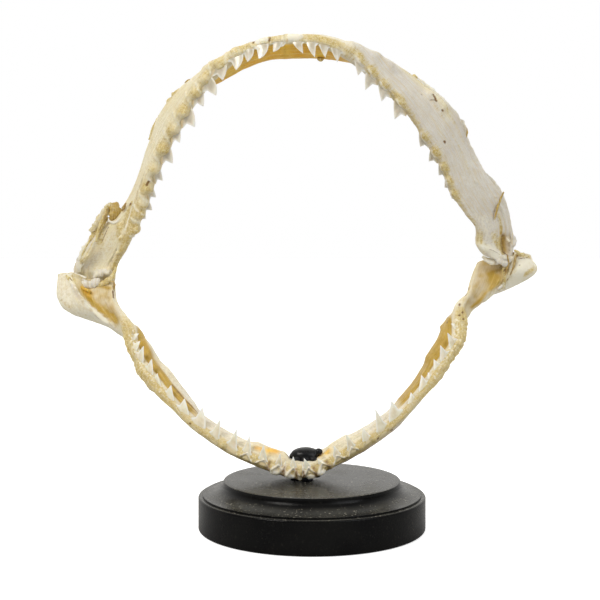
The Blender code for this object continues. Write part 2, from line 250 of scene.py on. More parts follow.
def cartilage(name, rows, outward, midline, rim, bulge, shape_of, paint_of):
    """Lofts one jaw half. shape_of gives how far the skin stands out in mm and paint_of the masks,
    both from a: distance along the tooth edge, r: distance round the section from the tooth edge,
    positive on the outer face, u: 0 at the tooth edge to 1 at the back, and the points."""
    length = edge_length(rows)
    at = np.linspace(0.0, length, RINGS)
    edge, along, blade, face, width, rest = blade_frames(rows, at, outward)
    front, back, hollow = (rest[:, k, None] for k in range(3))
    turn = np.linspace(0.0, 2 * math.pi, AROUND, endpoint=False)[None, :]
    u = 0.5 * (1 - np.cos(turn)) + 0 * at[:, None]
    side = np.where(turn < math.pi, 1.0, -1.0) + 0 * at[:, None]
    half = 0.5 * (front + (back - front) * u)
    half = half * np.sqrt(np.maximum(0, 1 - np.abs(2 * u - 1) ** SECTION_POWER))
    dip = np.where(
        u < rim, hollow * np.sin(math.pi * u / rim) ** 2, RIM_FALL * hollow * (u - rim) / (1 - rim)
    )
    dip = dip * np.where((side < 0) & (u < rim), INNER_DIP, 1.0)
    rings = (
        edge[:, None]
        + blade[:, None] * (width[:, None] * u)[..., None]
        + face[:, None] * (side * half - dip)[..., None]
    )
    rings[0, :, 0] = midline
    outward_x = rows[-1][0] - midline
    reach = np.clip((rings[-1] - edge[-1]) @ blade[-1] / width[-1], 0, 1)
    rings[-1] += (bulge * np.sin(math.pi * reach) ** 2)[:, None] * along[-1]
    middle = rings[-1].mean(axis=0)
    caps = []
    for push in np.linspace(0.1, 0.97, END_RINGS) * math.pi / 2:
        ring = middle + (rings[-1] - middle) * math.cos(push) ** END_POWER
        caps.append(ring + along[-1] * END_DEPTH * math.sin(push))
    rings = np.concatenate([rings, np.array(caps)])
    pick = np.concatenate([np.arange(RINGS), np.full(END_RINGS, RINGS - 1)])
    a = np.repeat(np.concatenate([at, np.full(END_RINGS, length)])[:, None], AROUND, 1)
    u, side = u[pick], side[pick]
    step = np.linalg.norm(np.roll(rings, -1, 1) - rings, axis=2)
    forward = np.concatenate([np.zeros((len(rings), 1)), np.cumsum(step, axis=1)[:, :-1]], axis=1)
    r = np.where(side > 0, forward, forward - step.sum(axis=1)[:, None])
    r[RINGS:] = r[RINGS - 1]
    normal = outward_normals(rings)
    rings = rings + normal * shape_of(a, r, u, side, rings)[..., None]
    rings[0, :, 0] = midline
    rings[1:4, :, 0] = np.where(
        outward_x > 0, np.maximum(rings[1:4, :, 0], midline), np.minimum(rings[1:4, :, 0], midline)
    )
    masks = paint_of(a, r, u, side, rings) | {"along": a, "reach": r}
    count = len(rings)
    first, last = rings[[0, -1]].mean(axis=1)
    hubs = np.array([first, last + along[-1] * 0.05])
    points = np.concatenate([rings.reshape(-1, 3), hubs]) * MM
    hub = count * AROUND
    faces = ring_faces(count, AROUND)
    faces += fan_faces(hub, AROUND) + fan_faces(hub + 1, AROUND, hub - AROUND)
    mesh = bpy.data.meshes.new(name)
    mesh.from_pydata(points.tolist(), [], faces)
    keep_masks(mesh, {
        key: np.append(values.ravel(), [values[0].mean(), values[-1].mean()]).astype(np.float32)
        for key, values in masks.items()
    })
    turn_outwards(mesh)
    mesh.set_sharp_from_angle(angle=math.radians(75))
    return put_in_scene(name, mesh)


def turn_outwards(mesh):
    """Points every face of a closed mesh outwards and shades it smooth."""
    bm = bmesh.new()
    bm.from_mesh(mesh)
    bmesh.ops.recalc_face_normals(bm, faces=bm.faces[:])
    bm.to_mesh(mesh)
    bm.free()
    mesh.shade_smooth()


def rgb(red, green, blue):
    """A colour given as 0-255 on screen, in the linear values that shaders use."""
    channels = [v / 255 for v in (red, green, blue)]
    linear = [v / 12.92 if v <= 0.04045 else ((v + 0.055) / 1.055) ** 2.4 for v in channels]
    return (*linear, 1.0)


def blank_material(name):
    made = bpy.data.materials.new(name)
    made.use_nodes = True
    return made, made.node_tree, made.node_tree.nodes["Principled BSDF"]


def add(tree, kind, options=None, **values):
    """Adds a node with its options and inputs."""
    made = tree.nodes.new(kind)
    for key, value in (options or {}).items():
        setattr(made, key, value)
    set_inputs(tree, made, **values)
    return made


def set_inputs(tree, node, **values):
    """Sets or links the inputs of these names, with _ for a space."""
    for key, value in values.items():
        feed(tree, node.inputs[key.replace("_", " ")], value)


def feed(tree, socket, value):
    if isinstance(value, bpy.types.NodeSocket):
        tree.links.new(value, socket)
    else:
        socket.default_value = value


def mixed(tree, factor, first, second):
    """Colour output of a mix of two colours."""
    made = add(tree, "ShaderNodeMix", {"data_type": "RGBA"})
    feed(tree, made.inputs[0], factor)
    feed(tree, made.inputs[6], first)
    feed(tree, made.inputs[7], second)
    return made.outputs[2]


def layered(tree, colour, *layers):
    """Lays colours over the first: each has a value, where it starts and is full, and its most."""
    for value, low, high, most, over in layers:
        colour = mixed(tree, ramped(tree, value, low, high, 0.0, most), colour, rgb(*over))
    return colour


def ramped(tree, value, low, high, bottom=0.0, top=1.0):
    """value mapped smoothly from low..high to bottom..top."""
    return add(
        tree, "ShaderNodeMapRange", {"interpolation_type": "SMOOTHSTEP"}, Value=value,
        From_Min=low, From_Max=high, To_Min=bottom, To_Max=top,
    ).outputs[0]


def maths(tree, operation, first, second, kind="ShaderNodeMath"):
    made = add(tree, kind, {"operation": operation})
    feed(tree, made.inputs[0], first)
    feed(tree, made.inputs[1], second)
    return made.outputs[0]


def mask(tree, name):
    return add(tree, "ShaderNodeAttribute", {"attribute_name": name}).outputs["Fac"]


def grain(tree, place, scale, detail=3.0, distort=0.0):
    """Noise from 0 to 1 on the given coordinates."""
    made = add(
        tree, "ShaderNodeTexNoise", Vector=place, Scale=scale, Detail=detail, Distortion=distort
    )
    return made.outputs["Fac"]


def lengthwise(tree, along_scale, round_scale):
    """Coordinates that follow the jaw: distance along it and round it, each scaled."""
    return add(
        tree, "ShaderNodeCombineXYZ",
        X=maths(tree, "MULTIPLY", mask(tree, "along"), along_scale),
        Y=maths(tree, "MULTIPLY", mask(tree, "reach"), round_scale),
    ).outputs[0]


def ragged(tree, name, value, low, high, amount):
    """A mask whose edge is broken up by a noise."""
    return maths(tree, "ADD", mask(tree, name), ramped(tree, value, low, high, -amount, amount))


# Colours, 0-255 on screen, tuned by comparing the render with the photo
CREAM, CREAM_SHADE = (252, 244, 212), (242, 230, 188)
COOL, COOL_SHADE = (240, 236, 226), (231, 225, 215)
DRY_FIBRE, DRY_THREAD, PITS = (232, 208, 146), (214, 186, 126), (214, 202, 174)
AMBER, AMBER_CLOUD = (196, 162, 62), (196, 154, 48)
AMBER_FIBRE, AMBER_THREAD = (238, 216, 140), (158, 122, 38)
# The golden amber at the front is brighter than the plain amber: partly the membrane's colour, partly
# painted light for the glow of light through it and against the shade it sits in.
GOLD, GOLD_CLOUD, GOLD_FIBRE, GOLD_THREAD = (255, 206, 66), (244, 184, 44), (255, 236, 158), (206, 146, 44)
GUM, GUM_GRAIN, GUM_PITS, GUM_FIBRE = (200, 172, 92), (224, 204, 140), (248, 240, 212), (240, 228, 184)
# Chalky white, also laid on the joint plates as painted light; brown stain, also laid on the lower arms as
# painted shade
CHALK_AND_LIGHT, STAIN_AND_SHADE = (250, 243, 222), (130, 94, 40)


def cartilage_material():
    """Cream varnished cartilage; the masks bring in gum, amber membrane, stains and chalky white, and also
    painted light and shade.
    """
    made, tree, shader = blank_material("dried_cartilage")
    place = add(tree, "ShaderNodeTexCoord").outputs["Object"]
    fibre_place = lengthwise(tree, 0.035, 1.0)
    fibres = grain(tree, fibre_place, 1.4, 4.0, 0.4)
    threads = grain(tree, fibre_place, 3.6, 3.0, 0.8)
    streaks = grain(tree, lengthwise(tree, 0.9, 0.22), 1.0, 3.0, 0.6)
    cloud = grain(tree, place, 90.0, 3.0)
    fleck = grain(tree, place, 620.0, 4.0)
    stipple = grain(tree, place, 1700.0, 2.0)
    cream = mixed(tree, mask(tree, "cool"), rgb(*CREAM), rgb(*COOL))
    shade = mixed(tree, mask(tree, "cool"), rgb(*CREAM_SHADE), rgb(*COOL_SHADE))
    colour = layered(
        tree, mixed(tree, ramped(tree, cloud, 0.35, 0.75), cream, shade),
        (fibres, 0.5, 0.7, 0.5, DRY_FIBRE),
        (threads, 0.54, 0.64, 0.45, DRY_THREAD),
        (stipple, 0.4, 0.68, 0.35, PITS),
    )
    amber = layered(
        tree, rgb(*AMBER),
        (cloud, 0.3, 0.7, 0.55, AMBER_CLOUD),
        (fibres, 0.5, 0.72, 0.4, AMBER_FIBRE),
        (threads, 0.52, 0.62, 0.5, AMBER_THREAD),
    )
    gold = layered(
        tree, rgb(*GOLD),
        (cloud, 0.35, 0.65, 1.0, GOLD_CLOUD),
        (fibres, 0.48, 0.68, 0.5, GOLD_FIBRE),
        (threads, 0.54, 0.66, 0.6, GOLD_THREAD),
    )
    gum = layered(
        tree, rgb(*GUM),
        (fleck, 0.32, 0.66, 1.0, GUM_GRAIN),
        (stipple, 0.5, 0.64, 0.5, GUM_PITS),
        (fibres, 0.5, 0.66, 0.4, GUM_FIBRE),
    )
    # The golden front of the membrane is partly painted light.
    colour = mixed(tree, mask(tree, "amber"), colour, mixed(tree, mask(tree, "gold"), amber, gold))
    gum_edge = ragged(tree, "gum", streaks, 0.3, 0.7, 0.22)
    gum_edge = maths(tree, "ADD", gum_edge, ramped(tree, threads, 0.35, 0.65, 0.25, -0.25))
    colour = mixed(tree, ramped(tree, gum_edge, 0.1, 0.95), colour, gum)
    # Chalky white, which on the joint plates is also painted light, then brown stain, which on the lower
    # arms is also painted shade.
    colour = layered(
        tree, colour,
        (ragged(tree, "chalk_and_light", fleck, 0.35, 0.65, 0.2), 0.2, 0.8, 1.0, CHALK_AND_LIGHT),
        (ragged(tree, "stain_and_shade", fleck, 0.3, 0.7, 0.15), 0.15, 0.9, 1.0, STAIN_AND_SHADE),
    )
    height = maths(
        tree, "ADD", maths(tree, "MULTIPLY", fleck, 0.6), maths(tree, "MULTIPLY", threads, 0.7)
    )
    bump = add(tree, "ShaderNodeBump", Strength=0.8, Distance=0.0006, Height=height)
    set_inputs(
        tree, shader, Base_Color=colour, Normal=bump.outputs[0],
        Roughness=ramped(tree, cloud, 0.3, 0.7, 0.34, 0.5), Coat_Weight=0.12, Coat_Roughness=0.25,
        Subsurface_Weight=0.25, Subsurface_Radius=(1.0, 0.9, 0.6), Subsurface_Scale=0.0025,
    )
    return made


dried_cartilage = cartilage_material()


def over_teeth(a, r, teeth, shift, middle, wide, tall):
    """1 over each tooth, at `shift` widths past its middle and `middle` mm from the edge."""
    return sum(spot(a, r, place + shift * width, middle, wide, tall) for place, width, *_ in teeth)


def creases(a, r, teeth, line, wide):
    """A fold over each tooth: line is its two ends, in widths past the tooth's middle and mm from
    the edge."""
    near, near_r, far, far_r = line
    return sum(
        streak(a, r, place + near * width, near_r, place + far * width, far_r, wide)
        for place, width, *_ in teeth
    )


def painted(paints, a, r, extra):
    """The masks with their single marks added, kept from 0 to 1."""
    return {key: np.clip(v + marks(a, r, extra.get(key, ())), 0, 1) for key, v in paints.items()}


def upper_shape(teeth, gum_width, bead, bead_at, crust, crease, relief):
    """Height of the skin in mm: a gum lip with a bead and folds over each tooth, dried lumps and
    fibres, a ragged back edge, and over the front teeth a thick brow and a curtain of gum."""

    def stand(a, r, u, side, points):
        arm = ease(*UPPER_FRONT, a)
        lip = 0.45 * band(r, 0.6, gum_width, 0.8)
        beads = bead * arm * over_teeth(a, r, teeth, -0.2, bead_at, 3.3, 3.0)
        roots = creases(a, r, teeth, crease, 0.8)
        swell = 0.4 * ripple(points, 16.0, 3) + 0.16 * ripple(points, 5.0, 5)
        lumps = crust * ripple(points, 1.6, 9) * band(r, -3.0, gum_width + 1.0, 1.0)
        torn = 0.5 * ripple(points, 3.5, 12) * ease(0.9, 1.0, u)
        fine = 0.16 * wrinkles(a, r, 14) + 0.07 * ripple(points, 1.1, 15)
        brow = 1.2 * (1 - ease(25.0, 45.0, a)) * band(r, 3.0, 12.0, 3.0)
        curtain = 1.3 * (1 - arm) * band(r, -0.8, 2.6, 1.0) * (1 + 0.6 * ripple(points, 3.2, 17))
        return (
            lip + beads + 0.55 * roots * arm + swell + lumps + torn + fine + brow + curtain
            + marks(a, r, relief)
        )

    return stand


def upper_paint(teeth, gum_width, gum_least, crease, cool, extra):
    """Masks: gum on the outer lip and over the teeth, amber and golden on the inner face, the golden
    partly painted light.
    """

    def paint(a, r, u, side, points):
        arm = ease(*UPPER_FRONT, a)
        cloud = ripple(points, 7.0, 21) + 0.5 * ripple(points, 2.6, 22)
        beads = over_teeth(a, r, teeth, -0.28, 0.65 * gum_width, 3.2, 0.85 * gum_width) * arm
        roots = creases(a, r, teeth, crease, 0.7)
        belt = band(r, -4.2 * arm, gum_width, 1.9)
        gum_least_here = 0.5 + (gum_least - 0.5) * arm
        front = (1 - arm) * band(r, -0.5, 10.0, 3.0) * (0.3 + 0.4 * cloud)
        gum = belt * (gum_least_here + 0.35 * cloud) + beads * (0.75 + 0.4 * cloud) + front
        gum = gum - 0.7 * roots * arm
        amber = 1 - ease(-2.6 - 3.6 * arm, -1.2 - 3.6 * arm, r)
        paints = {
            "gum": gum, "amber": amber, "gold": 1 - ease(40.0, 60.0, a), "stain_and_shade": 0 * a,
            "chalk_and_light": 0.5 * roots * arm, "cool": cool(a),
        }
        return painted(paints, a, r, extra)

    return paint


# Places of single features: a and r of both ends, half-width, then height in mm or depth of colour.
# Relief: bulges and dents of the edge, rolled folds of skin and cracks beside them.
UPPER_LEFT_RELIEF = (
    (38, 4, 42, 9, 3, 1.4), (24, 2, 33, 1.6, 2.5, 0.7), (4, 6, 34, 6, 4, -1),
    (156, 24.5, 166, 25, 1.2, 1.2), (166, 25, 176, 24.5, 1.2, 1), (148, 13, 156, 8.5, 1.6, 1.3),
    (156, 8.5, 166, 5.5, 1.5, 1.4), (166, 5.5, 178, 4, 1.4, 1.2), (148, 22, 157, 20.5, 1, -0.7),
    (154, 9.6, 165, 7.6, 0.6, -0.8), (165, 7.6, 178, 6.4, 0.6, -0.7), (9, 0.8, 13.4, 1, 1, 0.1),
    (181.5, 5, 182.5, 13, 3, 1.7), (128, 5.2, 118, 6.4, 0.5, -0.6), (140, 10, 148, 9, 0.5, -0.6),
    (133, 12.5, 145, 14.5, 0.6, 0.7),
)
UPPER_LEFT_PAINT = {
    "gum": (
        (149, 24.5, 158, 21, 1.6, 0.9), (154, 5, 156, 5.8, 2.2, 1), (146, 15, 154, 10.5, 1.4, 0.7),
        (156, 4.5, 180, 2, 2.2, 1.1), (157, 25.5, 172, 26, 0.7, 0.8), (60, 18.5, 68, 19.5, 1.6, 0.8),
        (100, 17, 128, 17.5, 0.8, 0.5), (141, 6, 150, 4.5, 1.6, 0.6), (134, 11.5, 154, 11, 1.8, 1.1),
        (126, 8.8, 146, 6, 1.2, 0.9), (156, 17, 176, 17, 6, 0.25),
    ),
    "stain_and_shade": (
        (148.5, 20.5, 158, 20, 0.45, 0.75), (110, 8.4, 131, 6.3, 0.4, 0.7),
        (134.5, 12.5, 136, 13.5, 0.9, 0.95), (117.8, 1.2, 119.8, 1.6, 0.6, 1.3),
        (143, 11.5, 149, 9, 0.35, 0.6), (173, 5.8, 181, 4.4, 0.4, 0.4), (154, 9.6, 165, 7.6, 0.4, 0.5),
        (165, 7.6, 176, 6.4, 0.4, 0.5), (7, 1.2, 7.6, 0.2, 0.6, 0.9), (14.8, 2.4, 15.4, 1.4, 0.6, 0.9),
        (4.4, -1, 5.2, -1.8, 0.5, 0.7),
    ),
    # The broad mark from 156 to 174 is pale colour and painted light together, lifting the shade in the
    # joint plate's hollow.
    "chalk_and_light": (
        (182, 4.5, 183, 13.5, 2.6, 1), (156, 15, 174, 15, 7, 0.4), (133, 9, 150, 7.5, 0.8, 0.8),
        (9, 1.5, 13.4, 1.8, 1.5, 1.3),
    ),
    "cool": ((150, 27, 158, 27, 4, 0.8), (168, 18, 178, 20, 4, 0.7)),
}
UPPER_RIGHT_RELIEF = (
    (34, 5.5, 43, 9, 3.4, 2.4), (47, 11.5, 55, 13.8, 3.8, 3), (80, 19.5, 89, 21, 3.2, 2.4),
    (94, 23.5, 106, 25, 3, -1.3), (111, 23, 122, 22, 3.5, -1.4), (173.5, 20, 181, 18, 2.3, -1.8),
    (174.5, 22, 175.5, 22.2, 0.9, 1.6), (1.6, 0.4, 8, 0.8, 1, 1.2), (160, 17.6, 171, 17, 0.9, -0.6),
    (150, 23, 172, 21.8, 1, 0.8), (176, 24, 182, 21.5, 1.3, 1), (178.5, 3, 183, 11, 3.2, 1.2),
    (81, 19.2, 84.5, 18.6, 0.35, -0.6), (108, 16, 136, 17, 1.2, 0.6),
)
UPPER_RIGHT_PAINT = {
    "gum": (
        (172, 13, 181, 15, 2.8, 0.8), (176, 5, 182, 9, 1.4, 0.5), (161, 19.2, 170, 18.2, 0.7, 0.9),
        (174, 18, 182, 15.5, 1.6, 0.8), (170, 4, 181, 3.5, 2, 0.5), (92, 22, 112, 22, 1, 0.5),
        (54, 21.5, 92, 22.5, 1.5, 0.55), (84, 16.8, 128, 16, 0.9, 0.35),
    ),
    "amber": ((168, 18.5, 171.4, 18.3, 0.8, 1.2), (174, 20.3, 181, 18.2, 2.2, 1)),
    "stain_and_shade": (
        (173.5, 19.9, 181.5, 17, 1.8, 0.65), (176, 23, 181, 21, 0.7, 0.5),
        (80.8, 19.6, 84.6, 18.8, 0.42, 1.2), (83.8, 18.8, 82, 16.4, 0.3, 0.9),
        (90.4, 18.6, 90.8, 18.6, 0.6, 1.2), (106, 9.1, 106.4, 9.1, 0.75, 1.5),
        (77, 15, 77.4, 14.8, 0.5, 0.6), (157.5, 18.2, 165, 17.4, 0.35, 0.5),
        (172, 15.5, 181, 13, 0.5, 0.5), (180, 6, 184, 12.5, 0.4, 0.55),
        (182, 15.5, 183.8, 19, 0.35, 0.7),
    ),
    "chalk_and_light": (
        (179, 3, 183.5, 11, 3, 0.9), (160, 7, 180, 9, 7, 0.4), (174.5, 22, 175.5, 22.4, 0.8, 1),
        (3, 0.5, 8.2, 1.3, 1.4, 1.3),
    ),
    "cool": ((60, 20.5, 95, 21.5, 2.6, -0.8),),
}
LEFT_CREASE = (0.0, 6.6, 0.46, -0.6)
RIGHT_CREASE = (-0.42, 0.9, 0.4, -1.2)
upper_left = cartilage(
    "upper_cartilage_left", UPPER_LEFT, -1, UPPER_MIDLINE, UPPER_RIM, CONDYLE,
    upper_shape(
        UPPER_LEFT_TEETH, gum_width=4.2, bead=2.5, bead_at=0.2, crust=0.28, crease=LEFT_CREASE,
        relief=UPPER_LEFT_RELIEF,
    ),
    upper_paint(
        UPPER_LEFT_TEETH, gum_width=4.6, gum_least=0.3, crease=LEFT_CREASE,
        cool=lambda a: 0.05 + 0 * a, extra=UPPER_LEFT_PAINT,
    ),
)
upper_right = cartilage(
    "upper_cartilage_right", UPPER_RIGHT, 1, UPPER_MIDLINE, UPPER_RIM, CONDYLE,
    upper_shape(
        UPPER_RIGHT_TEETH, gum_width=3.4, bead=1.0, bead_at=0.0, crust=0.18, crease=RIGHT_CREASE,
        relief=UPPER_RIGHT_RELIEF,
    ),
    upper_paint(
        UPPER_RIGHT_TEETH, gum_width=3.1, gum_least=0.62, crease=RIGHT_CREASE,
        # From 15 mm on the right arm turns grey-white: partly its own greyer tone, partly painted shade on
        # the side away from the key lamp.
        cool=lambda a: ease(15.0, 45.0, a), extra=UPPER_RIGHT_PAINT,
    ),
)
for piece, node in ((upper_left, "upper_jaw_left"), (upper_right, "upper_jaw_right")):
    piece.data.materials.append(dried_cartilage)
    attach(piece, "root")
    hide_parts(node)

# ------------------------------------------------------------------------------- lower jaw
# Two narrower blades, joined at the front on the base, each flaring into a hollow plate at the
# joint. Outside the teeth runs a granular band of dried gum, inside them an amber groove.

LOWER_MIDLINE = -5.3
LOWER_RIM = 0.69
SOCKET = -4.0  # how far the joint end is hollowed
GUM_SPREADS = (75.0, 98.0)  # where the gum widens, along the tooth edge

LOWER_LEFT = (
    (-5.3, -8, 32.2, -5.3, 8, 31.5, 8, 13.4, 0),
    (-34.2, -2.3, 39.3, -33.9, 14.2, 38.1, 9, 10.5, 0),
    (-61.1, 8.9, 52.9, -61.2, 25.4, 52, 8, 9.5, 0),
    (-86, 26.6, 74.4, -83.5, 43.3, 76, 8, 10, 0),
    (-99.8, 41.3, 91.8, -98.2, 58.2, 92, 10, 10, 0),
    (-102.1, 49, 101.5, -108.4, 65.2, 97, 9.5, 9.5, 0.3),
    (-105.9, 54.1, 107.7, -124.6, 63.6, 104, 6.5, 7, 1.5),
    (-108.9, 57.7, 112, -140.5, 61.7, 111.9, 6, 6, 2.5),
    (-111.8, 61.8, 116.9, -147.1, 64, 119.2, 6, 6, 2.8),
    (-113.9, 68.2, 124.7, -148.4, 72.1, 132.8, 7, 6, 2),
)
LOWER_RIGHT = (
    (-5.3, -8, 32.2, -5.3, 8, 31.5, 8, 13.4, 0),
    (20.7, -0.2, 41.9, 20.3, 16.3, 41.3, 9, 10.5, 0),
    (45, 11.4, 55.9, 44.7, 27.9, 55, 8, 9.5, 0),
    (72.1, 33.7, 83, 70.2, 50.6, 83.7, 8, 9.5, 0),
    (81.8, 44, 95.4, 79.1, 60.8, 96.2, 9, 10, 0),
    (83.6, 52.8, 106, 85.5, 70.7, 105.9, 10, 10, 0.3),
    (85.1, 59.5, 114.2, 96.7, 75.7, 112.6, 7, 7, 1.2),
    (89.4, 64.1, 119.7, 113.8, 74.8, 122.9, 6, 6.5, 2.2),
    (92.6, 70.5, 127.5, 131.1, 71.2, 134.7, 6, 6, 2.8),
    (97.4, 78.1, 136.9, 130, 78.1, 143.7, 7, 6, 2),
)
LOWER_LEFT_TEETH = (
    (4.6, 9, 8.3, 0.05), (9.2, 4.6, 5, 0.05), (12.5, 9.5, 8.1, 0.15), (20.9, 10.5, 9.8, 0.24),
    (30.3, 10.5, 11.6, 0.28), (39.2, 11, 11.4, 0.28), (50.3, 12, 10.8, 0.28), (62.8, 12.5, 10.6, 0.32),
    (74.6, 12.5, 7.2, 0.32), (86.7, 12.2, 6.5, 0.32), (97.9, 11, 5, 0.32), (106.9, 10.2, 8.6, 0.32),
    (117.3, 10, 8.6, 0.32), (125.6, 9, 6, 0.32), (132.8, 8, 4, 0.32),
)
LOWER_RIGHT_TEETH = (
    (0.6, 4, 4.4, 0.05), (3.9, 9, 7.6, -0.12), (11.9, 9, 5.4, -0.1), (20.1, 9.5, 7.3, 0.15),
    (29, 10, 9.7, 0.06), (38.5, 10.5, 8.1, 0.16), (48.7, 12.6, 12.8, 0.28), (60.6, 12.5, 9.6, 0.3),
    (73.3, 11.5, 4.6, 0.32), (85.2, 12.5, 6.8, 0.32), (91.6, 7, 4, 0.32), (99.9, 10.5, 5.5, 0.32),
    (108.5, 10, 8.1, 0.32), (118.7, 10, 8.5, 0.32), (131, 8.5, 4, 0.32),
)


def root_lobes(a, r, teeth, wide):
    """The two lobes of each root, spreading under the crown."""
    return sum(
        streak(a, r, place, -0.6, place - 0.36 * width, 2.5, wide)
        + streak(a, r, place, -0.6, place + 0.28 * width, 1.8, wide)
        for place, width, *_ in teeth
    )


def lower_shape(teeth, relief):
    """Height of the skin in mm: a gum belt outside the teeth, heaps and roots under the front ones,
    a bank and a saddle inside the front, a groove behind the teeth, and dried lumps and fibres."""

    def stand(a, r, u, side, points):
        arm = 1 - ease(132.0, 144.0, a)
        back = ease(*GUM_SPREADS, a)
        wide = 3.2 + 3.2 * back
        belt = (0.6 + 1.1 * back) * band(r, -0.6, wide, 1.6) * arm * ease(30.0, 60.0, a)
        heaps = 1.2 * over_teeth(a, r, teeth, -0.5, 1.6, 1.8, 2.2) * (1 - ease(40.0, 60.0, a))
        roots = 0.9 * root_lobes(a, r, teeth, 0.6) * (1 - ease(26.0, 44.0, a))
        roots = roots * (1 + 0.5 * ripple(points, 3.0, 38))
        bank = (1 - ease(12.0, 20.0, a)) * band(r, -6.0, -1.5, 1.2)
        bank = bank * (0.5 + 1.2 * ripple(points, 3.2, 39))
        saddle = -2.8 * (1 - ease(5.0, 12.0, a)) * band(r, -18.0, -7.0, 2.5)
        groove = -1.1 * spot(a * 0, r, 0, -4.2, 1.0, 1.8) * arm
        swell = 0.3 * ripple(points, 14.0, 31) + 0.14 * ripple(points, 5.0, 33)
        crust = 0.22 + 0.3 * ease(95.0, 115.0, a)
        lumps = crust * ripple(points, 1.2, 37) + 0.6 * ripple(points, 3.6, 36)
        lumps = lumps * band(r, -3.5, wide, 0.9) * arm * (0.35 + 0.65 * ease(80.0, 100.0, a))
        fine = 0.14 * wrinkles(a, r, 34) + 0.07 * ripple(points, 1.1, 35)
        return belt + heaps + roots + bank + saddle + groove + swell + lumps + fine + marks(a, r, relief)

    return stand


def lower_paint(teeth, amber_from, amber_to, extra):
    """Masks: gum with chalky grains outside the teeth, amber in the groove behind them and in the
    hollow of the joint plate, and painted shade on the arms and under them."""

    def paint(a, r, u, side, points):
        arm = 1 - ease(134.0, 144.0, a)
        cloud = ripple(points, 3.0, 41)
        back = ease(*GUM_SPREADS, a)
        gum = band(r, -1.0, 2.8 + 4.4 * back, 1.8) * arm * ease(10.0, 50.0, a) * (1.0 + 0.6 * cloud)
        # Ochre wash over the outer face: partly the dried gum's colour, partly painted shade darkening the
        # arms.
        wash = band(r, -1.0, 11.0, 3.0) * arm * (1 + 0.6 * ripple(points, 6.0, 43)) * (0.25 + 0.35 * back)
        roots = root_lobes(a, r, teeth, 0.8) * (1 - ease(26.0, 44.0, a))
        front = band(r, -1.2, 5.4, 1.6) * (1 - ease(30.0, 70.0, a)) * (1.0 + 0.5 * cloud)
        amber = band(r, amber_from, amber_to, 0.9) * arm * (1.3 + 0.3 * ripple(points, 7.0, 42))
        amber = amber * ease(60.0, 75.0, a) + 0.35 * wash + 0.22 * front
        grains = band(r, amber_to, 1.5 + 2.5 * back, 1.4) * arm * ease(76.0, 98.0, a)
        # Painted shadow on the underside of the front, which the black base shades.
        under = band(r, 6.0, 20.0, 4.0) * (1 - ease(60.0, 110.0, a)) * (1 + 0.4 * cloud)
        plate = ease(138.0, 150.0, a) * (side > 0)
        amber = amber + plate * band(u, 0.08, LOWER_RIM - 0.06, 0.08) * (0.55 + 0.35 * cloud)
        paints = {
            "gum": gum + front + wash - 0.8 * roots, "amber": amber, "gold": 1 - ease(30.0, 50.0, a),
            # Painted shade: brown over the arms up to the joint plates, mottled by noise in the material,
            # and the painted shadow underneath.
            "stain_and_shade": 0.22 * (1 - ease(104.0, 124.0, a)) + 0.2 * under,
            "chalk_and_light": (
                0.45 * plate * ease(LOWER_RIM, LOWER_RIM + 0.06, u) + 0.7 * roots
                + grains * (0.25 + 0.9 * ripple(points, 1.1, 45)) * (1 - 0.75 * ease(-0.5, 3.0, r))
            ),
            "cool": 0.3 + 0.4 * (1 - back) * ease(30.0, 50.0, a),
        }
        return painted(paints, a, r, extra)

    return paint


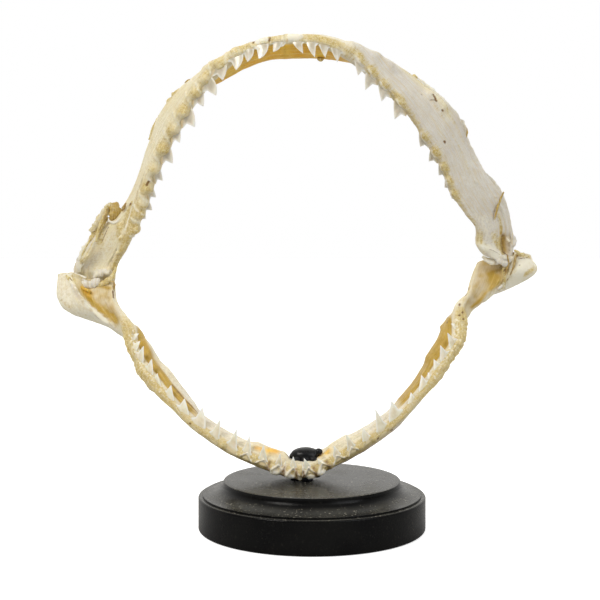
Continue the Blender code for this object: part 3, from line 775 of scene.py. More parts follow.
LOWER_LEFT_RELIEF = (
    (118, -10.5, 140, -10.5, 5, 1.7), (134, -1, 150, -1, 3, 1.1), (74, -14, 98, -14, 6.5, 1.9),
    (28, -12, 56, -13, 5, 0.5), (10, -10, 26, -11, 4, 2), (120, 4, 134, 3, 4, -1.7),
    (98, 5, 110, 5, 3.5, 0.6), (14.4, 3.4, 12.4, 3.6, 1.6, 2), (6.4, 3.4, 4.8, 3.6, 1.5, 2),
    (1.2, 4.8, 0.8, 5.2, 1.5, 1.9), (9, 1, 9, 4.6, 1.3, 1), (3, 1.5, 3, 4, 1, 0.8),
    (171, 30, 163, 24.5, 1.3, 1.5), (163, 24.5, 157, 21.8, 1.2, 1.6), (157, 21.8, 146, 14.5, 1.2, 1),
    (165, 18, 150, 9, 3, -1.2), (160, 4, 169, 3, 1.2, 0.8),
)
LOWER_LEFT_PAINT = {
    "amber": (
        (16, -8.6, 20, -7.4, 2.2, 1), (20, 6.5, 84, 6, 3, 0.3), (24, -6.4, 27, -5.8, 1.4, 0.7),
        (106, -8, 136, -8, 3, 0.9), (164.8, 20, 163.6, 17, 1.6, 1), (162, 17.5, 146, 8.5, 2.2, 0.85),
        (128, 0, 142, 2, 3, 0.5), (100, 5, 126, 4, 2.5, 0.35), (168.5, 12, 167.5, 4, 1.2, 0.5),
    ),
    # Painted light: a golden mark that lifts the shade cast by the pad above this slot.
    "gold": ((166, 20.5, 163.4, 17.5, 1.6, 0.7),),
    "gum": (
        (24, 6, 90, 5.5, 3.2, 0.4), (170, 27, 164, 23, 0.8, 0.7), (126, 1, 144, 2, 2.8, 0.8),
        (160, 36, 155, 31.5, 1, 0.8), (172, 33, 171, 24, 1.4, 0.6),
    ),
    "stain_and_shade": (
        (9.2, 0, 9.4, 5.6, 1.3, 0.5), (2.8, 0.4, 2.8, 5, 0.9, 0.5), (17.5, 0, 17.6, 3.6, 1.3, 0.42),
        (27.1, 3.4, 27.4, 3.2, 0.5, 0.9), (43.8, 3.4, 44.2, 3.2, 0.5, 0.9),
        (66, 1.6, 66.4, 1.6, 0.4, 0.9), (149.6, 18.4, 148.4, 17.6, 0.5, 0.9),
        (165.5, 2.6, 161, 2.8, 0.6, 0.9), (169, 2.4, 167, 1.6, 0.7, 0.7),
        (163.5, 5.5, 160, 6, 0.3, 0.5), (62, -7.6, 90, -7.4, 0.35, 0.7), (128, -3, 142, 3, 1.6, 0.35),
        (162.5, 20.5, 148, 12.5, 0.3, 0.5),
    ),
    "chalk_and_light": (
        (14.6, 3.4, 12.2, 3.6, 1.5, 1.3), (6.4, 3.4, 4.6, 3.6, 1.5, 1.3),
        (1.4, 4.8, 0.4, 5.2, 1.5, 1.2), (169, 28, 146, 13.5, 0.7, 0.6), (156, 21, 142, 13, 3.5, 0.6),
    ),
    "cool": ((165, 26, 158, 23, 1.2, 0.9), (160, 9, 150, 5, 3, 0.5)),
}
LOWER_RIGHT_RELIEF = (
    (102, -12, 126, -12.5, 5.5, 2.8), (128, -12.5, 140, -12, 4, 0.8), (134, -1, 152, -1, 3, 1),
    (140, 13, 152, 16, 3, 1.4), (70, -13, 90, -13, 5, 0.6), (20, -10.5, 28, -11.5, 3.5, 1.6),
    (8, -9, 14, -9, 4, -1), (24, 10, 58, 10, 5, 1.1), (3.2, 4.2, 4.8, 4, 1.5, 2),
    (8.8, 3.8, 10.6, 3.6, 1.5, 2), (0.4, 2, 0.6, 4.4, 1, 0.8), (6.6, 1.4, 6.6, 4.6, 1.2, 1),
    (14.8, 1.2, 14.6, 4, 1.3, 0.8), (177, 23.6, 166, 22, 1.2, 2.6), (166, 22, 157, 24.2, 1.2, 2.2),
    (157, 24.2, 150, 20, 1, 1.2), (178, 25, 177.6, 30, 1.6, 1.4), (168, 14, 154, 16.5, 3, -1.3),
    (176.5, 28, 176.5, 34, 1.2, 0.8),
)
LOWER_RIGHT_PAINT = {
    "amber": (
        (12, -8, 16.5, -6.4, 2.4, 1.1), (112, 4, 142, 3, 3, 0.5), (168.7, 13.6, 155.8, 18.6, 2.4, 0.9),
        (165, 17, 158, 20.5, 1.6, 0.7), (153, 15, 146, 12, 1.2, 0.6),
    ),
    "gum": (
        (24, 8, 92, 7, 4.5, -0.4), (167, 39.5, 163.5, 36.5, 1.4, 1), (177, 26, 177, 35, 1.8, 0.9),
        (172, 24, 160, 26, 1, 0.6), (177, 22, 157, 23.5, 1.5, 1), (128, 2, 143, 2, 2.6, 0.8),
        (178, 24, 176, 30, 1.4, 0.7), (172, 2, 150, 1.5, 1.4, 0.5),
    ),
    "stain_and_shade": (
        (0.8, 1, 0.8, 5, 0.9, 0.5), (6.6, 0, 6.8, 5.4, 1, 0.5), (14.2, 0, 13.6, 4.4, 1.2, 0.42),
        (175, 22.2, 170, 19.6, 0.7, 0.9), (174.5, 19.5, 171.5, 17.5, 0.35, 0.8),
        (168, 22.8, 158, 22.6, 0.35, 0.9), (177.6, 24.6, 176, 26.6, 0.9, 0.9),
        (168.6, 30.2, 168.9, 30.5, 0.45, 1), (174, 28.5, 175.4, 33.8, 0.3, 0.9),
        (160, 1.2, 159, 1.4, 0.5, 0.9), (134, 1.6, 142, 2.6, 1.2, 0.35),
        (138.4, 0.6, 138.8, 0.8, 0.5, 1.2), (136.2, 2.6, 136.6, 2.8, 0.45, 1.1),
        (140.6, 2.4, 141, 2.6, 0.4, 1.1), (133, -7.6, 133.6, -7.6, 0.7, 1),
        (53, 3.6, 53.8, 3.7, 0.5, 1), (70.4, 8.6, 74, 8.8, 0.35, 0.9), (48, 8, 50.6, 8.2, 0.35, 0.8),
        (44, 2.6, 44.6, 2.6, 0.45, 0.9), (155.5, 0.8, 154, 0.9, 0.6, 0.9),
        (147, 0.6, 145.5, 0.8, 0.6, 0.9), (179, 2.5, 177.5, 1.5, 0.5, 0.8),
    ),
    # The broad mark from 173 to 162 is pale colour and painted light together, on the joint plate that
    # faces down into shade.
    "chalk_and_light": (
        (3, 4.2, 5, 4, 1.5, 1.3), (8.6, 3.8, 10.8, 3.6, 1.5, 1.3), (173, 32, 162, 33, 6, 0.45),
        (177.5, 26, 177, 36, 1.8, -0.9), (167, 39.5, 163.5, 36.5, 1.5, -0.9),
        (172, 24, 160, 26, 1.2, -0.7),
    ),
    "cool": ((170, 8, 152, 8, 5, 0.5), (24, 9, 104, 8, 6, 0.6)),
}
lower_left = cartilage(
    "lower_cartilage_left", LOWER_LEFT, 1, LOWER_MIDLINE, LOWER_RIM, SOCKET,
    lower_shape(LOWER_LEFT_TEETH, LOWER_LEFT_RELIEF),
    lower_paint(LOWER_LEFT_TEETH, amber_from=-8.4, amber_to=-3.4, extra=LOWER_LEFT_PAINT),
)
lower_right = cartilage(
    "lower_cartilage_right", LOWER_RIGHT, -1, LOWER_MIDLINE, LOWER_RIM, SOCKET,
    lower_shape(LOWER_RIGHT_TEETH, LOWER_RIGHT_RELIEF),
    lower_paint(LOWER_RIGHT_TEETH, amber_from=-18.0, amber_to=-3.8, extra=LOWER_RIGHT_PAINT),
)
for piece, node in ((lower_left, "lower_jaw_left"), (lower_right, "lower_jaw_right")):
    piece.data.materials.append(dried_cartilage)
    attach(piece, "root")
    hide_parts(node)

# ------------------------------------------------------------------------------- teeth
# Enamelled crowns on rough roots, set in one row along each jaw half and held by the dried gum. The
# upper ones are broad blades with a notched far side, the lower ones narrow spikes on a wide root.
# A few worked shapes are repeated along the tooth edge by Geometry Nodes.

LEVELS = 26  # rings up a crown
TOOTH_AROUND = 14  # points round it
ROOT = -0.18  # foot of the root, in crown heights
ROOT_LEVELS = 5
BLUNT = 0.065  # how round the point is, in widths
HEEL = 0.32  # height of the heel behind the notch, in crown heights
EDGE_POWER = 1.9  # how the cutting edge bows
FLARE = 0.35  # height of a spike's wide base, in crown heights
SPIKE = 0.19  # half-width of a spike above it, in widths
BEND = 0.25  # how far the point leans inwards, in thicknesses


def blade_sides(v, lean):
    """Near and far edge at crown height v, in tooth widths: a long cutting edge up to the point, a
    steep back, then a notch and a low heel."""
    near = -0.5 + (0.5 + lean) * v**EDGE_POWER
    notch = lean - 0.05
    if v > HEEL:
        return near, notch + (lean - notch) * (v - HEEL) / (1 - HEEL)
    return near, notch + (0.5 - notch) * (1 - v / HEEL) ** 0.8


def hooked_sides(v, lean):
    """The same with a bowed cutting edge that curls over to the point."""
    _, far = blade_sides(v, lean)
    return -0.5 + (0.46 + lean) * (1 - math.sqrt(1 - v * v)), far


def spike_sides(v, lean):
    """The same for a front lower tooth: a narrow point on a wide base."""
    low, high = 0.3 * lean - SPIKE, 0.3 * lean + SPIKE
    if v > FLARE:
        rise = (v - FLARE) / (1 - FLARE)
        return low + (lean - low) * rise, high + (lean - high) * rise
    flare = (1 - v / FLARE) ** 1.5
    return low + (-0.5 - low) * flare, high + (0.5 - high) * flare


def tooth_pattern(name, labial, sides, lean, group):
    """One tooth of unit width, height and thickness; labial is +1 or -1, the side of y that is its
    flatter outer face."""
    points, level_of, rim_of = [], [], []
    levels = np.concatenate([np.linspace(ROOT, -0.04, ROOT_LEVELS), np.sin(np.linspace(0.0, 1.5, LEVELS))])
    for number, v in enumerate(levels):
        crown = max(v, 0.0)
        near, far = sides(crown, lean)
        middle, half = (near + far) / 2, (far - near) / 2
        if v < 0:
            half *= 0.6 + 0.36 * math.sqrt(max(0.0, 1 - (v / ROOT) ** 2))
            thick = 0.5 + 0.2 * math.sin(math.pi * v / ROOT)
        else:
            thick = 0.5 * (1 - 0.8 * crown**1.2)
            half *= 1.0 + (0.015 * (-1) ** number if 0.02 < v < 0.94 else 0.0)
            half = math.hypot(half, BLUNT * math.sqrt(1 - v * v))
        power = 1.0 if v > 0.05 else 0.55
        bend = BEND * crown**2
        for turn in np.linspace(0, 2 * math.pi, TOOTH_AROUND, endpoint=False):
            x = math.cos(turn)
            y = thick * (1 - x * x) ** power * (1.0 if math.sin(turn) > 0 else -0.6)
            points.append((middle + half * x, -labial * (y + bend), v))
            level_of.append(v)
            rim_of.append(abs(x))
    points += [(lean, -labial * BEND, 1.0), (0.0, 0.0, ROOT * 1.05)]
    level_of += [1.0, ROOT]
    rim_of += [1.0, 0.0]
    tip = len(levels) * TOOTH_AROUND
    faces = ring_faces(len(levels), TOOTH_AROUND)
    faces += fan_faces(tip, TOOTH_AROUND, tip - TOOTH_AROUND) + fan_faces(tip + 1, TOOTH_AROUND)
    mesh = bpy.data.meshes.new(name)
    mesh.from_pydata(points, [], faces)
    keep_masks(mesh, {"crown": level_of, "rim": rim_of})
    turn_outwards(mesh)
    group.objects.link(bpy.data.objects.new(name, mesh))


def enamel_material(name, near_root, dark, light, tip):
    """Crowns lighter along the cutting edges and the tip, over chalky bone roots."""
    made, tree, shader = blank_material(name)
    place = add(tree, "ShaderNodeTexCoord").outputs["Object"]
    level = mask(tree, "crown")
    cloud = grain(tree, place, 300.0, 3.0)
    crown = mixed(tree, ramped(tree, cloud, 0.3, 0.7), light, dark)
    colour = mixed(tree, ramped(tree, level, 0.45, 1.0), crown, tip)
    colour = mixed(tree, ramped(tree, mask(tree, "rim"), 0.55, 0.95), colour, tip)
    colour = mixed(tree, ramped(tree, level, -0.02, 0.16), near_root, colour)
    bump = add(tree, "ShaderNodeBump", Strength=0.15, Distance=0.0003, Height=cloud)
    set_inputs(
        tree, shader, Base_Color=colour, Normal=bump.outputs[0],
        Roughness=ramped(tree, level, -0.1, 0.1, 0.5, 0.24), Coat_Weight=0.3, Coat_Roughness=0.12,
        Subsurface_Weight=0.4, Subsurface_Radius=(1.0, 0.8, 0.6), Subsurface_Scale=0.0015,
    )
    return made


# Lit and shaded copies of the enamel: the upper one darker and greyer as painted shade on teeth that hang
# in shade, the lower one brighter as painted light on teeth whose outer faces look down, away from the
# lamps.
upper_enamel_shaded = enamel_material(
    "upper_enamel_shaded", near_root=rgb(216, 198, 156), dark=rgb(196, 186, 162), light=rgb(216, 208, 188),
    tip=rgb(240, 236, 224),
)
lower_enamel_lit = enamel_material(
    "lower_enamel_lit", near_root=rgb(226, 208, 162), dark=rgb(230, 220, 190), light=rgb(246, 239, 216),
    tip=rgb(254, 252, 242),
)


def tooth_row_nodes():
    """Sets one of the worked teeth on each point, turned and sized by the point's attributes."""
    tree = bpy.data.node_groups.new("tooth_row", "GeometryNodeTree")
    for name, kind, value in (
        ("Points", "Geometry", None), ("Worked teeth", "Collection", None),
        ("Size variation", "Float", 0.06), ("Turn variation", "Float", 0.07), ("Seed", "Int", 1),
        ("Enamel", "Material", None),
    ):
        made = tree.interface.new_socket(name=name, in_out="INPUT", socket_type="NodeSocket" + kind)
        if value is not None:
            made.default_value = value
    tree.interface.new_socket(name="Teeth", in_out="OUTPUT", socket_type="NodeSocketGeometry")
    given = tree.nodes.new("NodeGroupInput").outputs
    worked = add(
        tree, "GeometryNodeCollectionInfo", Collection=given["Worked teeth"],
        Separate_Children=True, Reset_Children=True,
    )

    def read(name, kind="FLOAT_VECTOR"):
        options = {"data_type": kind}
        return add(tree, "GeometryNodeInputNamedAttribute", options, Name=name).outputs["Attribute"]

    def vector_maths(operation, first, second):
        return maths(tree, operation, first, second, "ShaderNodeVectorMath")

    def spread(amount, middle, seed_shift):
        """Random vectors up to `amount` either side of the middle."""
        made = add(tree, "FunctionNodeRandomValue", {"data_type": "FLOAT_VECTOR"})
        feed(tree, made.inputs[0], vector_maths("SUBTRACT", middle, amount))
        feed(tree, made.inputs[1], vector_maths("ADD", middle, amount))
        set_inputs(tree, made, Seed=maths(tree, "ADD", given["Seed"], seed_shift))
        return made.outputs[0]

    sized = vector_maths("MULTIPLY", read("size"), spread(given["Size variation"], (1, 1, 1), 0))
    turned = add(tree, "FunctionNodeEulerToRotation", Euler=read("turn"))
    shake = spread(given["Turn variation"], (0, 0, 0), 5)
    shaken = add(tree, "FunctionNodeEulerToRotation", Euler=shake)
    rotated = add(tree, "FunctionNodeRotateRotation", {"rotation_space": "LOCAL"})
    feed(tree, rotated.inputs[0], turned.outputs[0])
    feed(tree, rotated.inputs[1], shaken.outputs[0])
    placed = add(
        tree, "GeometryNodeInstanceOnPoints", Points=given["Points"], Instance=worked.outputs[0],
        Pick_Instance=True, Instance_Index=read("pattern", "INT"), Rotation=rotated.outputs[0],
        Scale=sized,
    )
    real = add(tree, "GeometryNodeRealizeInstances", Geometry=placed.outputs[0])
    finished = add(
        tree, "GeometryNodeSetMaterial", Geometry=real.outputs[0], Material=given["Enamel"]
    )
    tree.links.new(finished.outputs[0], tree.nodes.new("NodeGroupOutput").inputs[0])
    return tree


tooth_row_tree = tooth_row_nodes()


def settle(piece):
    """Keeps the result of the piece's modifiers as a plain mesh."""
    graph = bpy.context.evaluated_depsgraph_get()
    mesh = bpy.data.meshes.new_from_object(piece.evaluated_get(graph))
    piece.modifiers.clear()
    piece.data = mesh


def worked_teeth(name, labial, shapes):
    group = bpy.data.collections.new(name)
    bpy.context.scene.collection.children.link(group)
    for number, (lean, sides) in enumerate(shapes):
        tooth_pattern(f"{name}_{number}", labial, sides, lean, group)
    return group


# Worked shapes: lean of the tip in widths, and the outline
HOOKED = [(lean, hooked_sides) for lean in (0.2, 0.25, 0.3, 0.36)]
BLADES = [(lean, blade_sides) for lean in (0.22, 0.26, 0.3, 0.34)]
SPIKES = [(lean, spike_sides) for lean in (-0.12, 0.05, 0.16, 0.25)] + [(0.32, blade_sides)]


def tooth_row(name, rows, outward, teeth, style, shapes, group, seed):
    """One row of teeth along a half. style gives their thickness, how deep they sink, and at places
    along the half (seat_at, from 0 to 1) their tilt in degrees and shift onto the outer face."""
    places = np.array([tooth[0] for tooth in teeth])
    edge, along, blade, face, _, _ = blade_frames(rows, places, outward)
    length = edge_length(rows)
    points, sizes, turns, patterns = [], [], [], []
    for i, (place, width, height, lean) in enumerate(teeth):
        tilt = math.radians(float(np.interp(place / length, style["seat_at"], style["tilt"])))
        shift = float(np.interp(place / length, style["seat_at"], style["shift"]))
        crown = Vector(-blade[i] * math.cos(tilt) - face[i] * math.sin(tilt))
        forward = Vector(along[i])
        forward = (forward - crown * forward.dot(crown)).normalized()
        turned = Matrix((forward, crown.cross(forward), crown)).transposed()
        root = edge[i] + blade[i] * style["sink"] + face[i] * shift
        points.append(Vector(root) * MM)
        sizes += [width * MM, style["thick"] * MM, height * MM]
        turns += list(turned.to_euler("XYZ"))
        patterns.append(int(np.argmin([abs(lean - shape[0]) for shape in shapes])))
    mesh = bpy.data.meshes.new(name)
    mesh.from_pydata(points, [], [])
    for key, kind, field, values in (
        ("size", "FLOAT_VECTOR", "vector", sizes), ("turn", "FLOAT_VECTOR", "vector", turns),
        ("pattern", "INT", "value", patterns),
    ):
        mesh.attributes.new(key, kind, "POINT").data.foreach_set(field, values)
    made = put_in_scene(name, mesh)
    modifier = made.modifiers.new("worked", "NODES")
    modifier.node_group = tooth_row_tree
    values = {"Worked teeth": group, "Seed": seed, "Enamel": style["enamel"]}
    for item in tooth_row_tree.interface.items_tree:
        if item.name in values:
            modifier[item.identifier] = values[item.name]
    settle(made)
    made.data.set_sharp_from_angle(angle=math.radians(50))
    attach(made, "root")


UPPER_STYLE = dict(
    seat_at=(0, 0.12, 0.25, 0.4, 0.55, 0.7, 0.85), tilt=(76, 70, 45, 16, 45, 62, 70),
    shift=(0.3, 0.6, 0, -0.6, -0.6, -0.4, 0), thick=2.8, sink=0.2, enamel=upper_enamel_shaded,
)
LOWER_STYLE = dict(
    seat_at=(0, 0.5, 0.8), tilt=(74, 66, 60), shift=(1.2, 0.9, 0.4), thick=2.6, sink=0.5,
    enamel=lower_enamel_lit,
)
for name, rows, outward, teeth, style, shapes, seed in (
    ("upper_teeth_left", UPPER_LEFT, -1, UPPER_LEFT_TEETH, UPPER_STYLE, HOOKED, 11),
    ("lower_teeth_left", LOWER_LEFT, 1, LOWER_LEFT_TEETH, LOWER_STYLE, SPIKES, 14),
    ("upper_teeth_right", UPPER_RIGHT, 1, UPPER_RIGHT_TEETH, UPPER_STYLE, BLADES, 23),
    ("lower_teeth_right", LOWER_RIGHT, -1, LOWER_RIGHT_TEETH, LOWER_STYLE, SPIKES, 26),
):
    group = worked_teeth("worked_" + name, outward, shapes)
    tooth_row(name, rows, outward, teeth, style, shapes, group, seed)
    for worked in list(group.objects):
        bpy.data.objects.remove(worked, do_unlink=True)
    bpy.data.collections.remove(group)

# ------------------------------------------------------------------------------- dried tissue
# Shreds of membrane and tendon that dried on where they were cut: the flap and the disc on the left
# crest, the capsules of the two joints, a loose strand on the right, and flakes along the back edges.

TISSUE_AROUND = 12  # points round a shred
TISSUE_STEP = 0.4  # between its rings
MASKS = ("gum", "amber", "gold", "stain_and_shade", "chalk_and_light", "cool")

# Colours of the tissue, mixed from the cartilage's masks
OCHRE = {"gum": 1.0}
PALE = {"chalk_and_light": 0.9, "cool": 0.3}
GREY = {"cool": 1.0}
BROWN = {"amber": 0.8, "gum": 0.3, "stain_and_shade": 0.5}
HONEY = {"amber": 1.0, "gum": 0.35}
FLAME = {"amber": 1.0, "gold": 0.5, "stain_and_shade": 0.2}
OLIVE = {"amber": 1.0, "gum": 0.45, "stain_and_shade": 0.3}
HUSK = {"gum": 0.45, "cool": 0.6}
MILKY = {"chalk_and_light": 0.45, "cool": 0.9, "gum": 0.15}

# Each shred: colour, how flat it is in depth, then points x, y, z and half-width
LEFT_TISSUE = (
    (OLIVE, 0.35, (
        (-111.2, 62.6, 173.2, 0.8), (-112.2, 62.2, 171, 2.9), (-112.8, 62, 167.6, 3.9),
        (-113.8, 62.2, 164.8, 3.1), (-115, 63, 162.4, 1.2),
    )),
    (HUSK, 0.3, (
        (-127.2, 64.6, 156.2, 1.1), (-123.8, 64, 160.8, 2.1), (-120.3, 63.6, 165.1, 2.3),
        (-117, 63.4, 170.4, 2.3), (-114.6, 63.4, 172.8, 0.9),
    )),
    (OCHRE, 0.3, (
        (-118.2, 65.5, 165.4, 2), (-121.6, 65.5, 160.4, 2.8), (-124.4, 65.8, 156, 3),
        (-127.2, 66.6, 151.2, 1.4),
    )),
    (OCHRE, 0.4, (
        (-116.8, 61.6, 171.2, 0.6), (-117.6, 61.4, 166.1, 1.3), (-120.4, 61.6, 161, 1.3),
        (-122.4, 62.2, 156.4, 1), (-123.8, 62.8, 150.4, 0.5),
    )),
    (BROWN, 0.6, (
        (-116.9, 61, 169.6, 0.3), (-117.6, 60.4, 165.6, 0.7), (-119.2, 60.6, 161.4, 0.4),
        (-121.6, 61.2, 157, 0.3),
    )),
    (PALE, 0.6, (
        (-116.6, 61.2, 162.6, 0.5), (-113.6, 60.6, 161.2, 0.8), (-110.6, 60.4, 162.2, 0.8),
        (-108.4, 60.2, 165, 0.4),
    )),
    (BROWN, 0.8, ((-105.6, 57.4, 172.6, 0.5), (-106.8, 58.4, 170.2, 1), (-108.2, 59.4, 168.2, 0.6))),
    (PALE, 0.35, (
        (-127, 68.6, 153.4, 1.2), (-130.2, 69.2, 148, 1.9), (-132.8, 70.2, 142.6, 2.1),
        (-134.9, 71.4, 137.3, 2.1), (-136, 72.4, 132.6, 1.2),
    )),
    (OCHRE, 0.6, (
        (-126.4, 67.4, 154.2, 0.3), (-129.4, 67.6, 149.3, 0.4), (-132.4, 68.4, 144.3, 0.4),
        (-134.2, 69.4, 138, 0.3),
    )),
    (GREY, 0.35, ((-135.2, 71, 142, 0.6), (-137, 72.4, 136.6, 1.4), (-137.4, 73, 131.8, 1.2))),
    (MILKY, 0.7, (
        (-126.2, 68.6, 129.2, 1.2), (-123.6, 67.8, 131.8, 2.2), (-120, 67, 133.2, 1.8),
        (-116.8, 66.2, 132.4, 1),
    )),
    (PALE, 0.6, ((-138, 70.6, 131.9, 0.5), (-134.4, 68.6, 130.5, 0.8), (-130.4, 67.4, 129.6, 0.6))),
    (GREY, 0.45, (
        (-136, 68.4, 130, 1), (-132.9, 66.8, 126.8, 2.1), (-129.2, 66, 125.2, 2.6),
        (-125.6, 66, 126.5, 2.3), (-122.4, 66.4, 129, 1.3),
    )),
    (OCHRE, 0.5, (
        (-123.8, 66.2, 124.8, 0.8), (-119.8, 65.6, 126.4, 1.9), (-115.8, 65, 128.8, 1.6),
        (-113.6, 65.6, 133.4, 0.9), (-112.6, 66, 138, 0.5),
    )),
    (OCHRE, 0.5, (
        (-142, 67, 131, 0.5), (-139, 65.8, 127.6, 1.4), (-135.8, 64.8, 123.8, 1.6),
        (-132.4, 64.2, 120.2, 0.8),
    )),
    (BROWN, 0.6, ((-139.6, 65.2, 129.6, 0.25), (-136.6, 64, 125.8, 0.5), (-134.2, 63.4, 122.8, 0.25))),
    # Painted light: the shred in that shaded slot is made golden and brighter.
    (FLAME, 0.5, ((-133.2, 64.2, 124, 0.9), (-130.2, 63.8, 122.8, 1.3), (-127.6, 63.4, 121.6, 0.8))),
    (BROWN, 0.8, ((-114.4, 64.6, 128, 0.4), (-113.6, 64.4, 125.6, 0.9), (-113.9, 63.8, 122.8, 0.4))),
    (BROWN, 0.8, ((-113.8, 63.4, 120.4, 0.3), (-113.4, 62.8, 118, 0.6), (-113.8, 62, 115.8, 0.3))),
    (OCHRE, 0.4, (
        (-70.8, 25.8, 233.2, 0.9), (-74.2, 28.4, 230.2, 2.1), (-77.6, 30.8, 226, 2.1),
        (-79.4, 32.6, 222, 0.8),
    )),
    (OCHRE, 0.5, (
        (-79.8, 35, 225, 0.4), (-84.5, 38, 218.9, 0.8), (-88.3, 41, 212.8, 0.7),
        (-90.4, 43.6, 207.4, 0.4),
    )),
    (BROWN, 0.6, ((-68.2, 21.4, 236, 0.3), (-66.2, 20.2, 237.2, 0.8), (-64.6, 19.6, 238, 0.3))),
)
RIGHT_TISSUE = (
    (OLIVE, 0.8, (
        (109.4, 55.6, 178.9, 0.35), (107.4, 54.9, 174.6, 0.5), (105.8, 55.4, 169, 0.55),
        (104.9, 58.3, 163.2, 0.4),
    )),
    (BROWN, 0.8, (
        (109.7, 55.8, 178.6, 0.2), (107.9, 55.2, 174.4, 0.3), (106.3, 55.7, 169.2, 0.3),
        (105.3, 58.4, 164, 0.2),
    )),
    (GREY, 0.6, (
        (116, 67.6, 156, 0.7), (117.4, 68, 152.8, 1.5), (117.8, 69, 149.4, 1.6),
        (116.6, 70.2, 146, 1.1),
    )),
    (MILKY, 0.7, (
        (108.6, 65.4, 142.6, 0.8), (112, 66.6, 141.2, 1.5), (115.6, 69, 140.2, 1.6),
        (118.6, 71.6, 141, 0.9),
    )),
    (HUSK, 0.8, (
        (119.4, 71, 144.4, 0.6), (117.6, 70, 138.4, 1.2), (114.6, 68.6, 131.4, 1.3),
        (111.6, 68.6, 125.6, 1.1), (109.6, 69.6, 121.6, 0.6),
    )),
    (GREY, 0.6, (
        (104.6, 65, 143, 1), (108.6, 65.4, 139.6, 1.9), (112.6, 66.8, 137.8, 2),
        (115.8, 68.6, 139.4, 1),
    )),
    (MILKY, 0.6, (
        (99.4, 66, 142, 0.8), (101.6, 66.6, 140, 1.6), (105.6, 67.2, 138.6, 1.8), (109, 67.6, 138, 0.9),
    )),
    (OCHRE, 0.7, ((118.6, 70.6, 145.6, 0.6), (120.8, 71.2, 144, 1.3), (123.4, 72, 142.6, 0.7))),
    (BROWN, 0.9, (
        (113.8, 66.2, 142.6, 0.4), (114.8, 67, 138.2, 0.6), (112.6, 67.2, 131, 0.5),
        (110.6, 67.8, 126, 0.4),
    )),
    (BROWN, 0.9, (
        (119.4, 70, 143, 0.4), (118.8, 69.2, 138.6, 0.6), (116.6, 68.2, 132.6, 0.45),
        (113.6, 68, 127.6, 0.3),
    )),
    (PALE, 0.9, ((111.8, 68.4, 126.4, 0.4), (110.6, 68.6, 124.2, 0.9), (108.8, 69, 122.8, 0.4))),
    (OCHRE, 0.8, ((53.8, 24.4, 240.2, 0.4), (55.6, 25.2, 240.4, 1), (57.4, 26.2, 239.2, 0.4))),
    (GREY, 0.6, (
        (81.4, 37, 218.6, 0.5), (83.6, 38, 216, 1.5), (84.8, 39, 212.4, 1.4), (84.8, 40, 208.8, 0.5),
    )),
    (OLIVE, 0.6, ((85.6, 38.6, 213.6, 0.3), (86.2, 39.2, 211.2, 0.7), (86, 39.8, 208.6, 0.3))),
    (HONEY, 0.8, (
        (3.2, 5.2, 247.4, 0.7), (4, 4.8, 245.9, 1.2), (5.4, 5, 246.6, 0.8), (6.8, 5.6, 247.6, 0.5),
    )),
    (PALE, 0.5, (
        (57.6, 25.8, 239.2, 0.4), (65.4, 27.8, 233.4, 0.9), (74.2, 30.2, 225.6, 0.8),
        (82.2, 35.6, 216.2, 0.4),
    )),
    (GREY, 0.5, (
        (97, 50, 190, 0.5), (101.6, 53.8, 186.4, 0.9), (106.6, 57.4, 181, 1.1),
        (109.8, 59.6, 176.4, 0.6),
    )),
)


def shreds(name, table, seed):
    """Tubes of uneven width, flattened in depth, through each shred's points."""
    points, faces, masks = [], [], {key: [] for key in MASKS}
    turn = np.linspace(0, 2 * math.pi, TISSUE_AROUND, endpoint=False)
    for number, (colour, flat, path) in enumerate(table):
        path = np.array(path)
        steps = np.linalg.norm(np.diff(path[:, :3], axis=0), axis=1)
        reach = np.concatenate([[0.0], np.cumsum(steps)])
        at = np.linspace(0, reach[-1], max(8, int(reach[-1] / TISSUE_STEP)))
        line = np.stack([np.interp(at, reach, path[:, k]) for k in range(4)], axis=1)
        for _ in range(3):
            line[1:-1] = (line[:-2] + 2 * line[1:-1] + line[2:]) / 4
        ahead = np.gradient(line[:, :3], axis=0)
        ahead /= np.linalg.norm(ahead, axis=1)[:, None]
        across = np.cross(ahead, (0, 1, 0))
        across /= np.linalg.norm(across, axis=1)[:, None]
        deep = np.cross(ahead, across)
        round_it = np.cos(turn)[None, :, None] * across[:, None]
        round_it = round_it + flat * np.sin(turn)[None, :, None] * deep[:, None]
        ring = line[:, None, :3] + line[:, None, 3:] * round_it
        uneven = ripple(ring, 2.2, seed + number) * 0.55 + ripple(ring, 0.9, seed + 40) * 0.2
        ring = ring + (ring - line[:, None, :3]) * uneven[..., None]
        start = len(points)
        hub = start + len(line) * TISSUE_AROUND
        points += ring.reshape(-1, 3).tolist() + line[[0, -1], :3].tolist()
        faces += ring_faces(len(line), TISSUE_AROUND, start)
        faces += fan_faces(hub, TISSUE_AROUND, start)
        faces += fan_faces(hub + 1, TISSUE_AROUND, hub - TISSUE_AROUND)
        for key in MASKS:
            masks[key] += [colour.get(key, 0.0)] * (hub + 2 - start)
    mesh = bpy.data.meshes.new(name)
    mesh.from_pydata([[v * MM for v in place] for place in points], [], faces)
    masks["along"] = [place[2] for place in points]
    masks["reach"] = [place[0] for place in points]
    keep_masks(mesh, masks)
    turn_outwards(mesh)
    made = put_in_scene(name, mesh)
    made.data.materials.append(dried_cartilage)
    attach(made, "root")


shreds("dried_tissue_left", LEFT_TISSUE, 60)
shreds("dried_tissue_right", RIGHT_TISSUE, 80)

# ------------------------------------------------------------------------------- turned base
# A disc of wood turned with a flat top, a crisp lip, a hollow moulding and a small groove, painted
# satin black.

